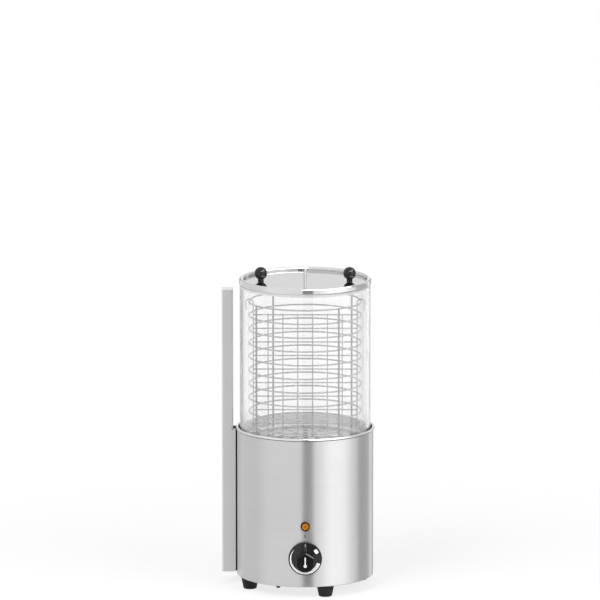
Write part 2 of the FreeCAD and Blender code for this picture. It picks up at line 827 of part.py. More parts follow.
def safety_limiter():
    """Limiter body on the bottom plate, and its reset button that shows under the base."""
    x, y = around(limiter_circle, LIMITER_ANGLE)
    bush_bottom = s.foot_height - s.limiter_bush_drop
    case = cylinder("limiter_case", s.limiter_radius, s.limiter_height, (x, y, bottom_top))
    bush = cylinder("limiter_bush", s.limiter_bush_radius, bottom_top + s.overrun - bush_bottom,
                    (x, y, bush_bottom))
    button_bottom = bush_bottom - s.reset_drop
    bore_top = button_bottom + s.reset_stem + s.reset_room
    bore = cylinder("limiter_bore", s.reset_radius + s.running_fit, bore_top - bush_bottom + s.overrun,
                    (x, y, bush_bottom - s.overrun))
    piece("safety_limiter", cut("safety_limiter", fuse("limiter_solid", case, bush), bore))
    piece("reset_button", turned("reset_button", [
        (0, 0),
        (s.reset_radius, 0, s.reset_round),
        (s.reset_radius, s.reset_stem),
        (0, s.reset_stem),
    ], (x, y, button_bottom)))


def terminal_block_and_wiring():
    """Terminal block under the element's ends, and the leads between the fittings."""
    block_front = element_tail_depth() - s.block_depth / 2
    block_top = bottom_top + s.block_height
    half = s.block_width / 2
    block = box("block_solid", s.block_width, s.block_depth, s.block_height,
                (-half, block_front, bottom_top))
    sockets = []
    for i in range(BLOCK_POLES):
        x = s.block_width * ((i + 1) / (BLOCK_POLES + 1)) - half
        sockets.append(cylinder(f"block_socket_{i + 1}", s.block_screw_radius, s.block_screw_depth,
                                (x, block_front + s.block_depth, block_top - s.block_depth / 2), TO_FRONT))
    piece("terminal_block", cut("terminal_block", block, *sockets))

    leads = []
    tail_bottom = element_level - s.element_tail
    for side, x in enumerate(element_tail_places()):
        leads.append(cylinder(f"heater_lead_{side + 1}", s.lead_radius, tail_bottom - block_top,
                              (x, element_tail_depth(), block_top)))
    lead_level = block_top - s.lead_drop
    for side, x in enumerate((s.lead_side, -s.lead_side)):
        leads.append(cylinder(f"thermostat_lead_{side + 1}", s.lead_radius, block_front + thermostat_back,
                              (x, -thermostat_back, lead_level), TO_BACK))
    thermostat_top = s.knob_level + s.thermostat_height / 2
    lamp_lead_y = base_radius - s.lamp_body_depth + s.lead_radius * 2
    leads.append(cylinder("lamp_lead", s.lead_radius,
                          lamp_level - s.lamp_body_radius - s.rest_gap - thermostat_top,
                          (0, -lamp_lead_y, thermostat_top)))
    piece("wiring", together("Part::Compound", "wiring", leads))


def cable_gland():
    """Inlet for the supply cord at the back, wider behind its grip, with its nut inside the shell."""
    front = s.gland_flange_thickness
    piece("cable_gland", turned("cable_gland", [
        (s.gland_bore_radius, s.gland_grip_start),
        (s.gland_inner_radius, s.gland_grip_start),
        (s.gland_inner_radius, -s.gland_thread_length),
        (s.gland_thread_radius, -s.gland_thread_length),
        (s.gland_thread_radius, 0),
        (s.gland_flange_radius, 0),
        (s.gland_flange_radius, front),
        (s.gland_dome_radius, front),
        (s.gland_dome_radius, s.gland_dome_length, s.gland_dome_round),
        (s.gland_bore_radius, s.gland_dome_length),
    ], (0, base_radius, s.gland_level), TO_BACK))
    start = shell_inner - s.nut_setback - s.gland_nut_thickness
    piece("cable_gland_nut", hex_nut("cable_gland_nut", s.gland_thread_radius + s.nut_wall,
                                     s.gland_thread_radius + s.weld_gap, s.gland_nut_thickness,
                                     (0, start, s.gland_level), TO_BACK))


def post_outline(inset):
    """The post's rounded rectangle, drawn in by an inset."""
    near = -post_inner - inset
    far = -post_inner - s.post_width + inset
    front = s.post_setback + inset
    back = post_back - inset
    round_off = s.post_corner * (INNER_ROUND_SHARE if inset.value else 1)
    corners = ((near, front), (near, back), (far, back), (far, front))
    return [(x, y, round_off) for x, y in corners]


def packing_top():
    """The packing piece ends below the bead of the rim."""
    return s.rim_level - s.bead_drop - s.packing_gap


def post_screw_levels():
    """Levels of the screws that hold the post, along the packing piece."""
    low = s.foot_height + s.packing_lift
    return [low + (packing_top() - low) * share for share in POST_SCREW_SHARES]


def post_flanges():
    """Front and back sheet of the post, which reach up to the shell below the bead."""
    near = post_inner + s.post_corner
    width = near - base_radius + s.overrun
    height = flange_top - post_bottom
    flanges = []
    for name, y in (("front", s.post_setback), ("back", post_back - s.post_wall)):
        label = f"flange_{name}"
        plain = box(label + "_sheet", width, s.post_wall, height, (-near, y, post_bottom))
        hollow = cylinder(label + "_hollow", base_radius + s.flange_gap, height, (0, 0, post_bottom))
        flanges.append(cut(label, plain, hollow))
    return flanges


def side_post():
    """Tube with flanges beside the base, its cap, the packing piece to the shell, and the screws."""
    tube_length = s.post_height - s.post_cap_thickness
    outer = padded("post_outer", post_outline(as_size(0)), tube_length, (0, 0, post_bottom))
    bore = padded("post_bore", post_outline(s.post_wall), tube_length, (0, 0, post_bottom))
    tube = cut("post_tube", outer, bore)
    channel = fuse("post_channel", tube, *post_flanges())
    hole_radius = s.post_screw_radius + s.screw_fit
    relief_at = (-post_inner - s.relief_inset, s.post_setback + s.relief_depth, flange_top)
    post_holes = [cylinder("post_relief", s.relief_radius, s.relief_depth + s.overrun, relief_at, TO_FRONT)]
    packing_holes = []
    screws = []
    head_side = post_middle + s.post_screw_head_radius
    seat = root_of(squared(shell_inner) - squared(head_side)) - s.post_screw_seat
    reach = post_inner + s.post_wall + s.post_screw_reach - seat
    for i, level in enumerate(post_screw_levels()):
        post_holes.append(cylinder(f"post_hole_{i + 1}", hole_radius, s.post_wall + s.overrun * 2,
                                   (s.overrun - post_inner, post_middle, level), TO_LEFT))
        packing_holes.append(cylinder(f"packing_hole_{i + 1}", hole_radius, s.post_gap + s.overrun * 2,
                                      (s.overrun - base_radius, post_middle, level), TO_LEFT))
        screws.append(screw(f"post_screw_{i + 1}", s.post_screw_head_radius, s.post_screw_head_height,
                            s.post_screw_radius, reach, (-seat, post_middle, level), TO_LEFT))
    piece("side_post", cut("side_post", channel, *post_holes))
    piece("post_screws", together("Part::Compound", "post_screws", screws))

    cap_level = post_bottom + tube_length
    lid = padded("post_cap_lid", post_outline(as_size(0)), s.post_cap_thickness, (0, 0, cap_level))
    plug = padded("post_cap_plug", post_outline(s.post_wall + s.post_cap_fit), s.post_cap_plug,
                  (0, 0, cap_level - s.post_cap_plug))
    piece("post_cap", fuse("post_cap", lid, plug))

    low = s.foot_height + s.packing_lift
    height = packing_top() - low
    width = s.post_depth - (s.post_wall + s.packing_side_gap) * 2
    side = post_middle - width / 2
    bar = box("packing_bar", s.post_gap + s.overrun * 2, width, height, (-post_inner, side, low))
    hollow = cylinder("packing_hollow", base_radius + s.packing_fit, height, (0, 0, low))
    shaped = cut("packing_shaped", bar, hollow)
    piece("post_packing", cut("post_packing", shaped, *packing_holes))


def perforated_plate():
    """Disc with rings of round holes, and one hole in the middle."""
    body = doc.addObject("PartDesign::Body", "perforated_plate")
    pad = body.newObject("PartDesign::Pad", "plate_disc")
    pad.Profile = circle_sketch(body, "plate_edge", plate_radius, 0)
    bind(pad, Length=s.plate_thickness)
    body.Tip = pad
    drill(body, "plate_middle", 0, 1)
    pitch = (plate_radius - s.plate_hole_inset) / len(PLATE_HOLE_COUNTS)
    for i, count in enumerate(PLATE_HOLE_COUNTS):
        drill(body, f"plate_ring_{i + 1}", pitch * (i + 1), count)
    piece("perforated_plate", place(body, (0, 0, plate_level)))


def circle_sketch(body, name, radius, up):
    """A circle on a body's own XY plane, with its centre on the Y axis."""
    sketch = body.newObject("Sketcher::SketchObject", name)
    sketch.AttachmentSupport = [(origin_part(body, "XY_Plane"), "")]
    sketch.MapMode = "FlatFace"
    centre = FreeCAD.Vector(0, as_size(up).value, 0)
    circle = sketch.addGeometry(Part.Circle(centre, FreeCAD.Vector(0, 0, 1), radius.value), False)
    hold_point(sketch, circle, 3, 0, up)
    index = sketch.addConstraint(Sketcher.Constraint("Radius", circle, radius.value))
    sketch.setExpression(f"Constraints[{index}]", radius.formula)
    return sketch


def drill(body, name, radius, count):
    """Holes through the plate, all at one radius from its middle."""
    doc.recompute()
    before = body.Shape.Volume
    pocket = body.newObject("PartDesign::Pocket", name)
    pocket.Profile = circle_sketch(body, name + "_circle", s.plate_hole_radius, radius)
    pocket.Type = "ThroughAll"
    pocket.Midplane = True
    body.Tip = pocket
    if count > 1:
        pattern = body.newObject("PartDesign::PolarPattern", name + "_pattern")
        pattern.Originals = [pocket]
        pattern.Axis = (origin_part(body, "Z_Axis"), [""])
        pattern.Angle = 360
        pattern.Occurrences = count
        body.Tip = pattern
    doc.recompute()
    hole = math.pi * s.plate_hole_radius.value ** 2 * s.plate_thickness.value
    if not math.isclose(before - body.Shape.Volume, hole * count, rel_tol=1e-3):
        raise RuntimeError(f"{name}: the plate's holes were not cut")


def glass_cylinder():
    """Open glass tube with ground edges, standing on the seat of the well."""
    piece("glass_cylinder", turned("glass_cylinder", [
        (glass_inner, 0, s.glass_edge_round),
        (s.glass_radius, 0, s.glass_edge_round),
        (s.glass_radius, s.glass_height, s.glass_edge_round),
        (glass_inner, s.glass_height, s.glass_edge_round),
    ], (0, 0, seat_level)))


def wire_basket():
    """Rings welded inside four uprights that stand on the plate."""
    pitch = (top_ring_level - low_ring_level) / (RING_COUNT - 1)
    for i in range(RING_COUNT):
        level = top_ring_level - pitch * i
        name = f"basket_ring_{i + 1}"
        piece(name, torus(name, ring_radius, s.ring_wire_radius, (0, 0, level)))
    uprights = []
    height = top_ring_level + s.ring_wire_radius - seat_level
    for i in range(UPRIGHT_COUNT):
        x, y = around(upright_centre, UPRIGHT_FIRST_ANGLE + i * 360 / UPRIGHT_COUNT)
        uprights.append(cylinder(f"basket_upright_{i + 1}", s.upright_radius, height, (x, y, seat_level)))
    piece("basket_uprights", together("Part::Compound", "basket_uprights", uprights))


def hook_top():
    """The hooks' crowns rest on the top ring, with a small gap between round wires."""
    crown = s.hook_radius - s.grid_wire_radius
    return top_ring_level + s.ring_wire_radius + s.rest_gap - crown


def divider():
    """Welded grid across the basket, and the two outer wires that end in hooks."""
    half = ring_radius - s.hook_radius
    arc_level = hook_top()
    top_wire = arc_level + s.hook_radius + s.grid_wire_radius - s.hook_rise
    low_wire = seat_level + s.grid_floor_gap
    row_pitch = (top_wire - low_wire) / (GRID_ROWS - 1)
    column_pitch = half * 2 / (GRID_COLUMNS - 1)
    bottom = low_wire - s.grid_wire_radius
    wires = []
    for i in range(1, GRID_COLUMNS - 1):
        wires.append(cylinder(f"grid_column_{i}", s.grid_wire_radius, top_wire + s.grid_wire_radius - bottom,
                              (column_pitch * i - half, 0, bottom)))
    row_depth = s.grid_weld_sink - s.grid_wire_radius * 2
    row_start = -half - s.grid_wire_radius
    for i in range(GRID_ROWS):
        row_wire = cylinder(f"grid_row_{i + 1}", s.grid_wire_radius, -row_start * 2,
                            (-row_start, row_depth, low_wire + row_pitch * i), TO_LEFT)
        wires.append(row_wire)
    piece("divider_grid", fuse("divider_grid", *wires))
    hook_depth = s.grid_weld_sink + s.weld_gap
    for name, side in (("divider_hook_right", 1), ("divider_hook_left", -1)):
        piece(name, hook_wire(name, side, half, bottom, arc_level, hook_depth))


def hook_wire(name, side, half, bottom, arc_level, depth):
    """An outer wire of the divider: straight, bent over in a half circle, then a short leg."""
    leg = cylinder(name + "_stem", s.grid_wire_radius, arc_level - bottom, (half * side, depth, bottom))
    crown = torus(name + "_crown", s.hook_radius, s.grid_wire_radius,
                  ((half + s.hook_radius) * side, depth, arc_level))
    crown.Angle3 = 180 - HOOK_LEAN_ANGLE
    lean = math.radians(HOOK_LEAN_ANGLE)
    first_turn = 0 if side < 0 else HOOK_LEAN_ANGLE
    upright = FreeCAD.Rotation(FreeCAD.Vector(1, 0, 0), 90)
    crown.Placement.Rotation = upright.multiply(FreeCAD.Rotation(FreeCAD.Vector(0, 0, 1), first_turn))
    end_x = (half + s.hook_radius + s.hook_radius * math.cos(lean)) * side
    end_z = arc_level + s.hook_radius * math.sin(lean)
    tail = cylinder(name + "_tail", s.grid_wire_radius, s.hook_leg, (end_x, depth, end_z))
    tail.Placement.Rotation = FreeCAD.Rotation(FreeCAD.Vector(0, 1, 0), 180 + side * HOOK_LEAN_ANGLE)
    return fuse(name, leg, crown, tail)


def lid_ring():
    """Polished ring on the glass, with a ledge for the flaps and a skirt inside the glass."""
    rim_outer = s.glass_radius + s.lid_overhang
    lid_top = glass_top + s.lid_height
    round_off = (rim_outer - rim_inner) * LID_ROUND_SHARE
    skirt_outer = glass_inner - s.skirt_clearance
    skirt_inner = skirt_outer - s.skirt_wall
    under = ledge_top - s.ledge_thickness
    body = turned("lid_ring_body", [
        (rim_inner, ledge_top),
        (ledge_inner, ledge_top),
        (ledge_inner, under),
        (skirt_inner, under),
        (skirt_inner, glass_top - s.skirt_depth),
        (skirt_outer, glass_top - s.skirt_depth),
        (skirt_outer, glass_top),
        (rim_outer, glass_top, round_off / 2),
        (rim_outer, lid_top, round_off),
        (rim_inner, lid_top, round_off),
    ])
    pin_half = rim_inner + s.hinge_pin_reach
    bore = cylinder("lid_pin_hole", s.hinge_pin_radius + s.weld_gap, pin_half * 2,
                    (0, -pin_half, hinge_level), TO_BACK)
    piece("lid_ring", cut("lid_ring", body, bore))
    piece("hinge_pin", cylinder("hinge_pin", s.hinge_pin_radius, pin_half * 2,
                                (0, -pin_half, hinge_level), TO_BACK))


def lid_flaps():
    """Two half discs whose knuckles take turns along one pin, each with a ball knob."""
    for name, side, first in (("left", -1, 0), ("right", 1, 1)):
        flap_half(name, side, first)


def flap_half(name, side, first):
    """One flap with its knuckles, and its ball knob with the screw from below."""
    radius = rim_inner - s.flap_clearance
    half_length = ledge_inner - s.barrel_end_gap
    pitch = half_length * 2 / KNUCKLE_COUNT
    disc = cylinder(f"flap_{name}_disc", radius, s.flap_thickness, (0, 0, ledge_top))
    near = s.barrel_radius
    far_x = near if side > 0 else -near - radius
    half_box = box(f"flap_{name}_half", radius, radius * 2, s.flap_thickness, (far_x, -radius, ledge_top))
    leaf = doc.addObject("Part::Common", f"flap_{name}_leaf")
    leaf.Base = disc
    leaf.Tool = half_box
    parts = [leaf]
    for i in range(first, KNUCKLE_COUNT, 2):
        start = pitch * i - half_length + s.knuckle_gap / 2
        length = pitch - s.knuckle_gap
        parts.append(cylinder(f"knuckle_{name}_{i + 1}", s.barrel_radius, length,
                              (0, start, hinge_level), TO_BACK))
        web_x = 0 if side > 0 else -near - s.overrun
        parts.append(box(f"web_{name}_{i + 1}", near + s.overrun, length, s.flap_thickness,
                         (web_x, start, ledge_top)))
    bore = cylinder(f"flap_{name}_bore", s.hinge_pin_radius + s.running_fit, half_length * 2,
                    (0, -half_length, hinge_level), TO_BACK)
    x = (radius - s.ball_inset) * side
    hole = cylinder(f"flap_{name}_hole", s.ball_screw_radius + s.screw_fit, s.flap_thickness,
                    (x, 0, ledge_top))
    piece(f"flap_{name}", cut(f"flap_{name}", fuse(f"flap_{name}_solid", *parts), bore, hole))

    ball_level = flap_top + s.ball_neck_height + s.ball_radius * BALL_SEAT_SHARE
    ball = doc.addObject("Part::Sphere", f"ball_{name}")
    bind(ball, Radius=s.ball_radius)
    place(ball, (x, 0, ball_level))
    neck = cylinder(f"ball_neck_{name}", s.ball_neck_radius, ball_level - flap_top, (x, 0, flap_top))
    socket = cylinder(f"ball_socket_{name}", s.ball_screw_radius + s.weld_gap,
                      s.ball_screw_reach + s.rest_gap, (x, 0, flap_top))
    label = f"lid_knob_{name}"
    piece(label, cut(label, fuse(f"ball_solid_{name}", ball, neck), socket))
    label = f"lid_knob_screw_{name}"
    piece(label, screw(label, s.ball_screw_head_radius, s.ball_screw_head_height, s.ball_screw_radius,
                       s.flap_thickness + s.ball_screw_reach, (x, 0, ledge_top)))


def write_parts():
    """Checks every object, then writes one STEP file for each piece."""
    doc.recompute()
    for thing in doc.Objects:
        if "Invalid" in thing.State or "Error" in thing.State:
            raise RuntimeError(f"{thing.Label}: failed to recompute")
    for thing in pieces:
        if thing.Shape.isNull() or not thing.Shape.isValid():
            raise RuntimeError(f"{thing.Label}: no valid shape")
    os.makedirs("parts", exist_ok=True)
    for thing in pieces:
        thing.Shape.exportStep(f"parts/{thing.Label}.step")


base_shell()
well_rim()
water_well()
bottom_plate()
feet()
heater()
thermostat()
control_knob()
indicator_lamp()
safety_limiter()
terminal_block_and_wiring()
cable_gland()
side_post()
perforated_plate()
glass_cylinder()
wire_basket()
divider()
lid_ring()
lid_flaps()
write_parts()
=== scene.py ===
import math

import bmesh
import bpy
from mathutils import Matrix, Vector


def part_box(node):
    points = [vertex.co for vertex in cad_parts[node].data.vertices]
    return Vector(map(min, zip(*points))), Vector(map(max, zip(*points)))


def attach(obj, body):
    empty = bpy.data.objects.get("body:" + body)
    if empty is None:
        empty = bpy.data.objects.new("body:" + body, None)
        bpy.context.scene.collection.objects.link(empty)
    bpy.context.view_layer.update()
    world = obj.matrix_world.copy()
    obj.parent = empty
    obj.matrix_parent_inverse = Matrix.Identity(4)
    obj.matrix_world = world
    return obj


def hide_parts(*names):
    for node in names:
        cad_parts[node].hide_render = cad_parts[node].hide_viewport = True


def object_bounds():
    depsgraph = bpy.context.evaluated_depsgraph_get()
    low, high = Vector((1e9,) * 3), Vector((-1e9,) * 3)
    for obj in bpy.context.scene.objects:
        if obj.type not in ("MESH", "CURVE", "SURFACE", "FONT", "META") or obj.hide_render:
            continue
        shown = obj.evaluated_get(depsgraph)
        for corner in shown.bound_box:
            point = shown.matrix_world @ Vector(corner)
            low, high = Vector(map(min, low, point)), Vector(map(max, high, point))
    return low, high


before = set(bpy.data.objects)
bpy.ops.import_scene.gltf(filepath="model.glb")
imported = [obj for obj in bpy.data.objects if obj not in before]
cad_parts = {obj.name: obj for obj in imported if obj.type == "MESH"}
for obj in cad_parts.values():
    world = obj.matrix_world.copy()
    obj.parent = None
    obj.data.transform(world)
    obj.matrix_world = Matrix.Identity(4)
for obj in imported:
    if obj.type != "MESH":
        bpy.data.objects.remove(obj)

# Looks of the hot dog cooker: finishes for its pieces, the knob with the print and a painted highlight
# on its dial, a dark strip of painted shade under its rim, weld spots on its wires, ribs on its cable gland,
# a softly lit white studio and the camera. Metres, in the frame of the imported model: +Z is up, -Y is the
# front.
# Azimuths run from the front towards +X.

cad_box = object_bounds()
MM = 0.001

# Camera, from the photograph's perspective
CAMERA_DISTANCE = 10.0
CAMERA_HEIGHT = 2.2485
CAMERA_TARGET = (-0.00793, 0.0, 0.4434)
CAMERA_LENS = 399.3
SENSOR_WIDTH = 36.0
CLIP_END = 100.0

# White surroundings, and a floor that keeps a shadow near the object and turns white further away
WHITE = (1.0, 1.0, 1.0, 1.0)
AMBIENT = 0.62
FLOOR_RADIUS = 40.0
FLOOR_SEGMENTS = 64
FLOOR_DROP = 0.02 * MM
FLOOR_SHADE = 0.82
FLOOR_GLOW_NEAR = 0.74
FLOOR_NEAR = 0.25
FLOOR_FAR = 0.9

# Soft boxes: power in watts, size and place, and the spot that both aim at
KEY_POWER = 60.0
KEY_SIZE = (1.6, 1.6)
KEY_PLACE = (-1.3, -1.8, 2.2)
FILL_POWER = 30.0
FILL_SIZE = (1.4, 1.4)
FILL_PLACE = (1.6, -1.5, 1.4)
LIGHT_AIM = (0.0, 0.0, 0.25)

# Cards round the object: brightness, then azimuth, half angle and soft edge in degrees
CARDS = {
    "dark_strip": (0.34, 4.7, 10.2, 2.6),
    "bright_card": (1.42, 55.0, 36.0, 26.0),
    "right_flag": (0.56, 117.0, 26.0, 14.0),
    "left_flag": (0.85, -112.0, 50.0, 30.0),
    "back_flag_left": (0.5, -165.0, 12.0, 8.0),
    "back_flag_right": (0.55, 160.0, 12.0, 8.0),
}
CARD_STEPS = 24
CARD_DISTANCE = 2.2
CARD_LOW = -2.2
CARD_HIGH = 2.6
HIGH_BOX = (8.0, 50.0, 62.0, 18.0)
HIGH_BOX_DISTANCE = 1.4
HIGH_BOX_LOW = 1.5
HIGH_BOX_HIGH = 2.5

# Finishes: the usual span of a noise, how brushed steel varies, and depths of surface relief
NOISE_SPAN = (0.25, 0.75)
LINE_SHARE = 0.65
BRUSH_TONE_SHARES = (0.93, 1.05)
BRUSH_GLOSS_SHARES = (1.15, 0.86)
# Dark colour of the plate's upright faces: painted shade in the punched holes and along the edge
PUNCHED_EDGE_SHADE = 0.16
BRUSH_RELIEF = 0.01 * MM
POLISH_RELIEF = 0.002 * MM
WIRE_RELIEF = 0.02 * MM
WELD_RELIEF = 0.1 * MM
GRAIN_RELIEF = 0.03 * MM
KNOB_RELIEF = 0.004 * MM
FACE_RELIEF = 0.02 * MM
FOOT_RELIEF = 0.08 * MM
PACKING_RELIEF = 0.1 * MM
FACET_RELIEF = 0.08 * MM

# Glass: its tint, and the ground ends that clear up over a short way
GLASS_TINT = (0.99, 0.995, 0.995, 1.0)
GLASS_EDGE = (0.4 * MM, 1.1 * MM)
GLASS_EDGE_ROUGHNESS = 0.35

# Lamp lens: facets on its inside, and colours by share of its radius: the amber tint, with a brighter ring,
# a darker centre and a star painted as light through the facets
LENS_FACETS = 8.0
LENS_PAINTED_STAR_SHARE = 0.05
LENS_TINT_AND_PAINTED_RING = [
    (0.12, (0.26, 0.08, 0.002, 1.0)),
    (0.36, (0.38, 0.125, 0.002, 1.0)),
    (0.66, (0.52, 0.2, 0.004, 1.0)),
    (0.9, (0.06, 0.014, 0.001, 1.0)),
]

# Steps of round shapes, the angle that keeps an edge crisp, and the thickness of printed marks
SEGMENTS = 96
BEVEL_STEPS = 5
ARC_STEP_ANGLE = 4.0
ARC_LEAST_STEPS = 4
CRISP_ANGLE = 35.0
PRINT_HEIGHT = 0.08 * MM

# Knob: its grip, nose, skirt and hollow back, from the solid's own sizes
SKIRT_EDGE = 2.4 * MM
SKIRT_ROUND = 0.9 * MM
SKIRT_CROWN = 5.3 * MM
SKIRT_CROWN_RADIUS = 12.0 * MM
GRIP_HALF_WIDTH = 13.8 * MM
GRIP_PEAK = 12.4 * MM
GRIP_EAVE = 3.6 * MM
GRIP_BOTTOM = 18.5 * MM
GRIP_EDGE_ROUND = 1.4 * MM
GRIP_PEAK_ROUND = 4.0 * MM
GRIP_BOTTOM_ROUND = 12.9 * MM
GRIP_FACE = 15.8 * MM
GRIP_BEVEL = 1.3 * MM
NOSE_HALF_WIDTH = 4.4 * MM
NOSE_TOP = 23.5 * MM
NOSE_DEPTH = 9.0 * MM
NOSE_SLOPE_START = 13.0 * MM
NOSE_DROP = 5.0 * MM
NOSE_CURVE = 1.6
NOSE_TIP_SHARE = 0.1
NOSE_STEPS = 24
RECESS_RADIUS = 9.8 * MM
RECESS_DEPTH = 7.0 * MM
BORE_RADIUS = 3.05 * MM
BORE_DEPTH = 12.2 * MM
CUT_OVERRUN = 1.0 * MM
FACE_TOLERANCE = 0.08 * MM

# Dial print and a painted highlight on the nose, as shares of the knob's radius and angles in degrees from
# the top
RAMP_START_ANGLE = -50.6
RAMP_SWEEP_ANGLE = -201.4
RAMP_INNER_SHARES = (0.862, 0.72)
RAMP_OUTER_SHARES = (0.875, 0.932)
RAMP_RISE_SHARE = 0.2
BLOCK_ANGLE = 55.1
BLOCK_RADIUS_SHARE = 0.795
BLOCK_SIZE_SHARES = (0.195, 0.27)
BLOCK_STEPS = 8
STEM_SHARES = (-0.25, 0.19)
STEM_WIDTH_SHARE = 0.07
STEM_TIP_SHARE = 0.02
STEM_STEPS = 8
BULB_SHARE = -0.33
BULB_RADIUS_SHARE = 0.095
BULB_DOT_SHARE = 0.03
# The grey mark on the nose is a painted highlight
NOSE_HIGHLIGHT_SHARES = (0.74, 0.9)
NOSE_HIGHLIGHT_WIDTH_SHARE = 0.075
NOSE_HIGHLIGHT_TIP_SHARE = 0.15
NOSE_HIGHLIGHT_STEPS = 12

# Index mark on the shell, above the knob
MARK_LEVEL = 96.7 * MM
MARK_HEIGHT = 5.0 * MM
MARK_WIDTHS = (1.7 * MM, 2.6 * MM)

# Feet, and wires with their welds
FOOT_COUNT = 4
RING_COUNT = 11
UPRIGHT_COUNT = 4
UPRIGHT_FIRST_ANGLE = 34.5
GRID_COLUMNS = 8
GRID_ROWS = 10
GRID_WIRE_RADIUS = 1.0 * MM
RING_WELD = (1.0 * MM, 1.7 * MM, 1.25 * MM)
GRID_WELD = (1.25 * MM, 0.9 * MM, 1.25 * MM)
WELD_SUBDIVISIONS = 2
WELD_SWELL_SHARE = 0.08
WELD_BEATS = (1.7, 2.3)
WELD_CRISP_ANGLE = 80.0

# Dark strip under the rolled rim, put there as painted shade in the crease
SHADE_STRIP_DROP = 3.5 * MM
SHADE_STRIP_HEIGHT = 0.9 * MM
SHADE_STRIP_DEPTH = 0.5 * MM

# Grip ribs round the cable gland
GLAND_RIBS = 14
GLAND_DOME_RADIUS = 9.5 * MM
GLAND_DOME_LENGTH = 14.0 * MM
RIB_SIZE = (1.5 * MM, 8.0 * MM, 1.3 * MM)
RIB_BEVEL_SHARE = 0.25
RIB_BEVEL_STEPS = 2


def middle(node):
    """The middle of a node's box."""
    low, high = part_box(node)
    return (low + high) / 2


base_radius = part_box("base_shell")[1].x
knob_low, knob_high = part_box("control_knob")
knob_centre = middle("control_knob")
knob_radius = (knob_high.x - knob_low.x) / 2


class Paint:
    """A material under construction, with its nodes and its main shader."""

    def __init__(self, name, **sockets):
        self.material = bpy.data.materials.new(name)
        self.material.use_nodes = True
        self.tree = self.material.node_tree
        self.shader = self.tree.nodes["Principled BSDF"]
        for socket, value in sockets.items():
            self.shader.inputs[socket.replace("_", " ")].default_value = value

    def node(self, kind, inputs=None, **settings):
        """A new node with some of its settings and inputs filled in."""
        made = self.tree.nodes.new("ShaderNode" + kind)
        for name, value in settings.items():
            setattr(made, name, value)
        for name, value in (inputs or {}).items():
            self.feed(made.inputs[name], value)
        return made

    def feed(self, socket, value):
        """Links an output to a socket, or sets the socket's own value."""
        if hasattr(value, "is_output"):
            self.tree.links.new(value, socket)
        else:
            socket.default_value = value

    def to(self, socket, output):
        """Feeds a socket of the main shader."""
        self.tree.links.new(output, self.shader.inputs[socket])

    def place(self, scale=(1, 1, 1)):
        """Object coordinates, stretched along the axes."""
        coordinates = self.node("TexCoord").outputs["Object"]
        return self.node("Mapping", {"Vector": coordinates, "Scale": scale}).outputs["Vector"]

    def noise(self, scale, stretch=(1, 1, 1), detail=3.0, roughness=0.5):
        """Noise, in cycles per metre, stretched along the axes."""
        inputs = {"Vector": self.place(stretch), "Scale": scale, "Detail": detail, "Roughness": roughness}
        return self.node("TexNoise", inputs).outputs["Fac"]

    def spread(self, value, low, high):
        """The usual span of a noise, spread over another range."""
        least, most = NOISE_SPAN
        inputs = {"Value": value, "From Min": least, "From Max": most, "To Min": low, "To Max": high}
        return self.node("MapRange", inputs).outputs["Result"]

    def mix(self, factor, first, second):
        """A colour between two colours or sockets."""
        node = self.node("Mix", data_type="RGBA")
        for index, value in ((0, factor), (6, first), (7, second)):
            self.feed(node.inputs[index], value)
        return node.outputs[2]

    def tone(self, value, dark, light):
        """A base colour that follows a noise between two colours."""
        self.to("Base Color", self.mix(self.spread(value, 0.0, 1.0), dark, light))

    def gloss(self, value, low, high):
        """A roughness that follows a noise between two levels."""
        self.to("Roughness", self.spread(value, low, high))

    def maths(self, operation, first, second=0.0):
        """One sum on numbers or sockets."""
        node = self.node("Math", operation=operation)
        self.feed(node.inputs[0], first)
        self.feed(node.inputs[1], second)
        return node.outputs[0]

    def bump(self, height, distance, strength):
        """Small relief on the surface, in metres."""
        inputs = {"Height": height, "Distance": distance, "Strength": strength}
        self.to("Normal", self.node("Bump", inputs).outputs["Normal"])


def grey(level):
    """A neutral colour."""
    return (level, level, level, 1.0)


def greys(level, shares):
    """Two neutral colours, as shares of a level."""
    return [grey(level * share) for share in shares]


def brushed(name, level, lines, roughness, **sockets):
    """Brushed steel: fine lines, stretched by the given scales, in colour, gloss and relief."""
    paint = Paint(name, Metallic=1.0, **sockets)
    fine = paint.noise(1.0, lines, detail=4.0, roughness=0.65)
    smudge = paint.noise(9.0, detail=2.0)
    clouded = paint.maths("MULTIPLY", smudge, 1 - LINE_SHARE)
    shade = paint.maths("ADD", paint.maths("MULTIPLY", fine, LINE_SHARE), clouded)
    paint.tone(shade, *greys(level, BRUSH_TONE_SHARES))
    paint.gloss(shade, *(roughness * share for share in BRUSH_GLOSS_SHARES))
    paint.bump(fine, BRUSH_RELIEF, strength=0.2)
    return paint


def brushed_round(name, level, lines, roughness, anisotropy):
    """Steel brushed round the Z axis, which draws every light out into an upright band."""
    paint = brushed(name, level, lines, roughness, Anisotropic=anisotropy, Anisotropic_Rotation=0.25)
    paint.to("Tangent", paint.node("Tangent", direction_type="RADIAL", axis="Z").outputs["Tangent"])
    return paint.material


def punched_plate():
    """Brushed sheet whose upright faces, the walls of the punched holes and the outer edge, are painted dark
    as painted shade.
    """
    paint = brushed("plate_steel", level=0.66, lines=(900, 18, 900), roughness=0.24)
    normal = paint.node("TexCoord").outputs["Normal"]
    slope = paint.node("SeparateXYZ", {"Vector": normal}).outputs["Z"]
    flat = paint.maths("POWER", paint.maths("ABSOLUTE", slope), 2.0)
    sheet = paint.shader.inputs["Base Color"].links[0].from_socket
    # Upright faces get the dark colour, as painted shade
    paint.to("Base Color", paint.mix(flat, grey(PUNCHED_EDGE_SHADE), sheet))
    return paint.material


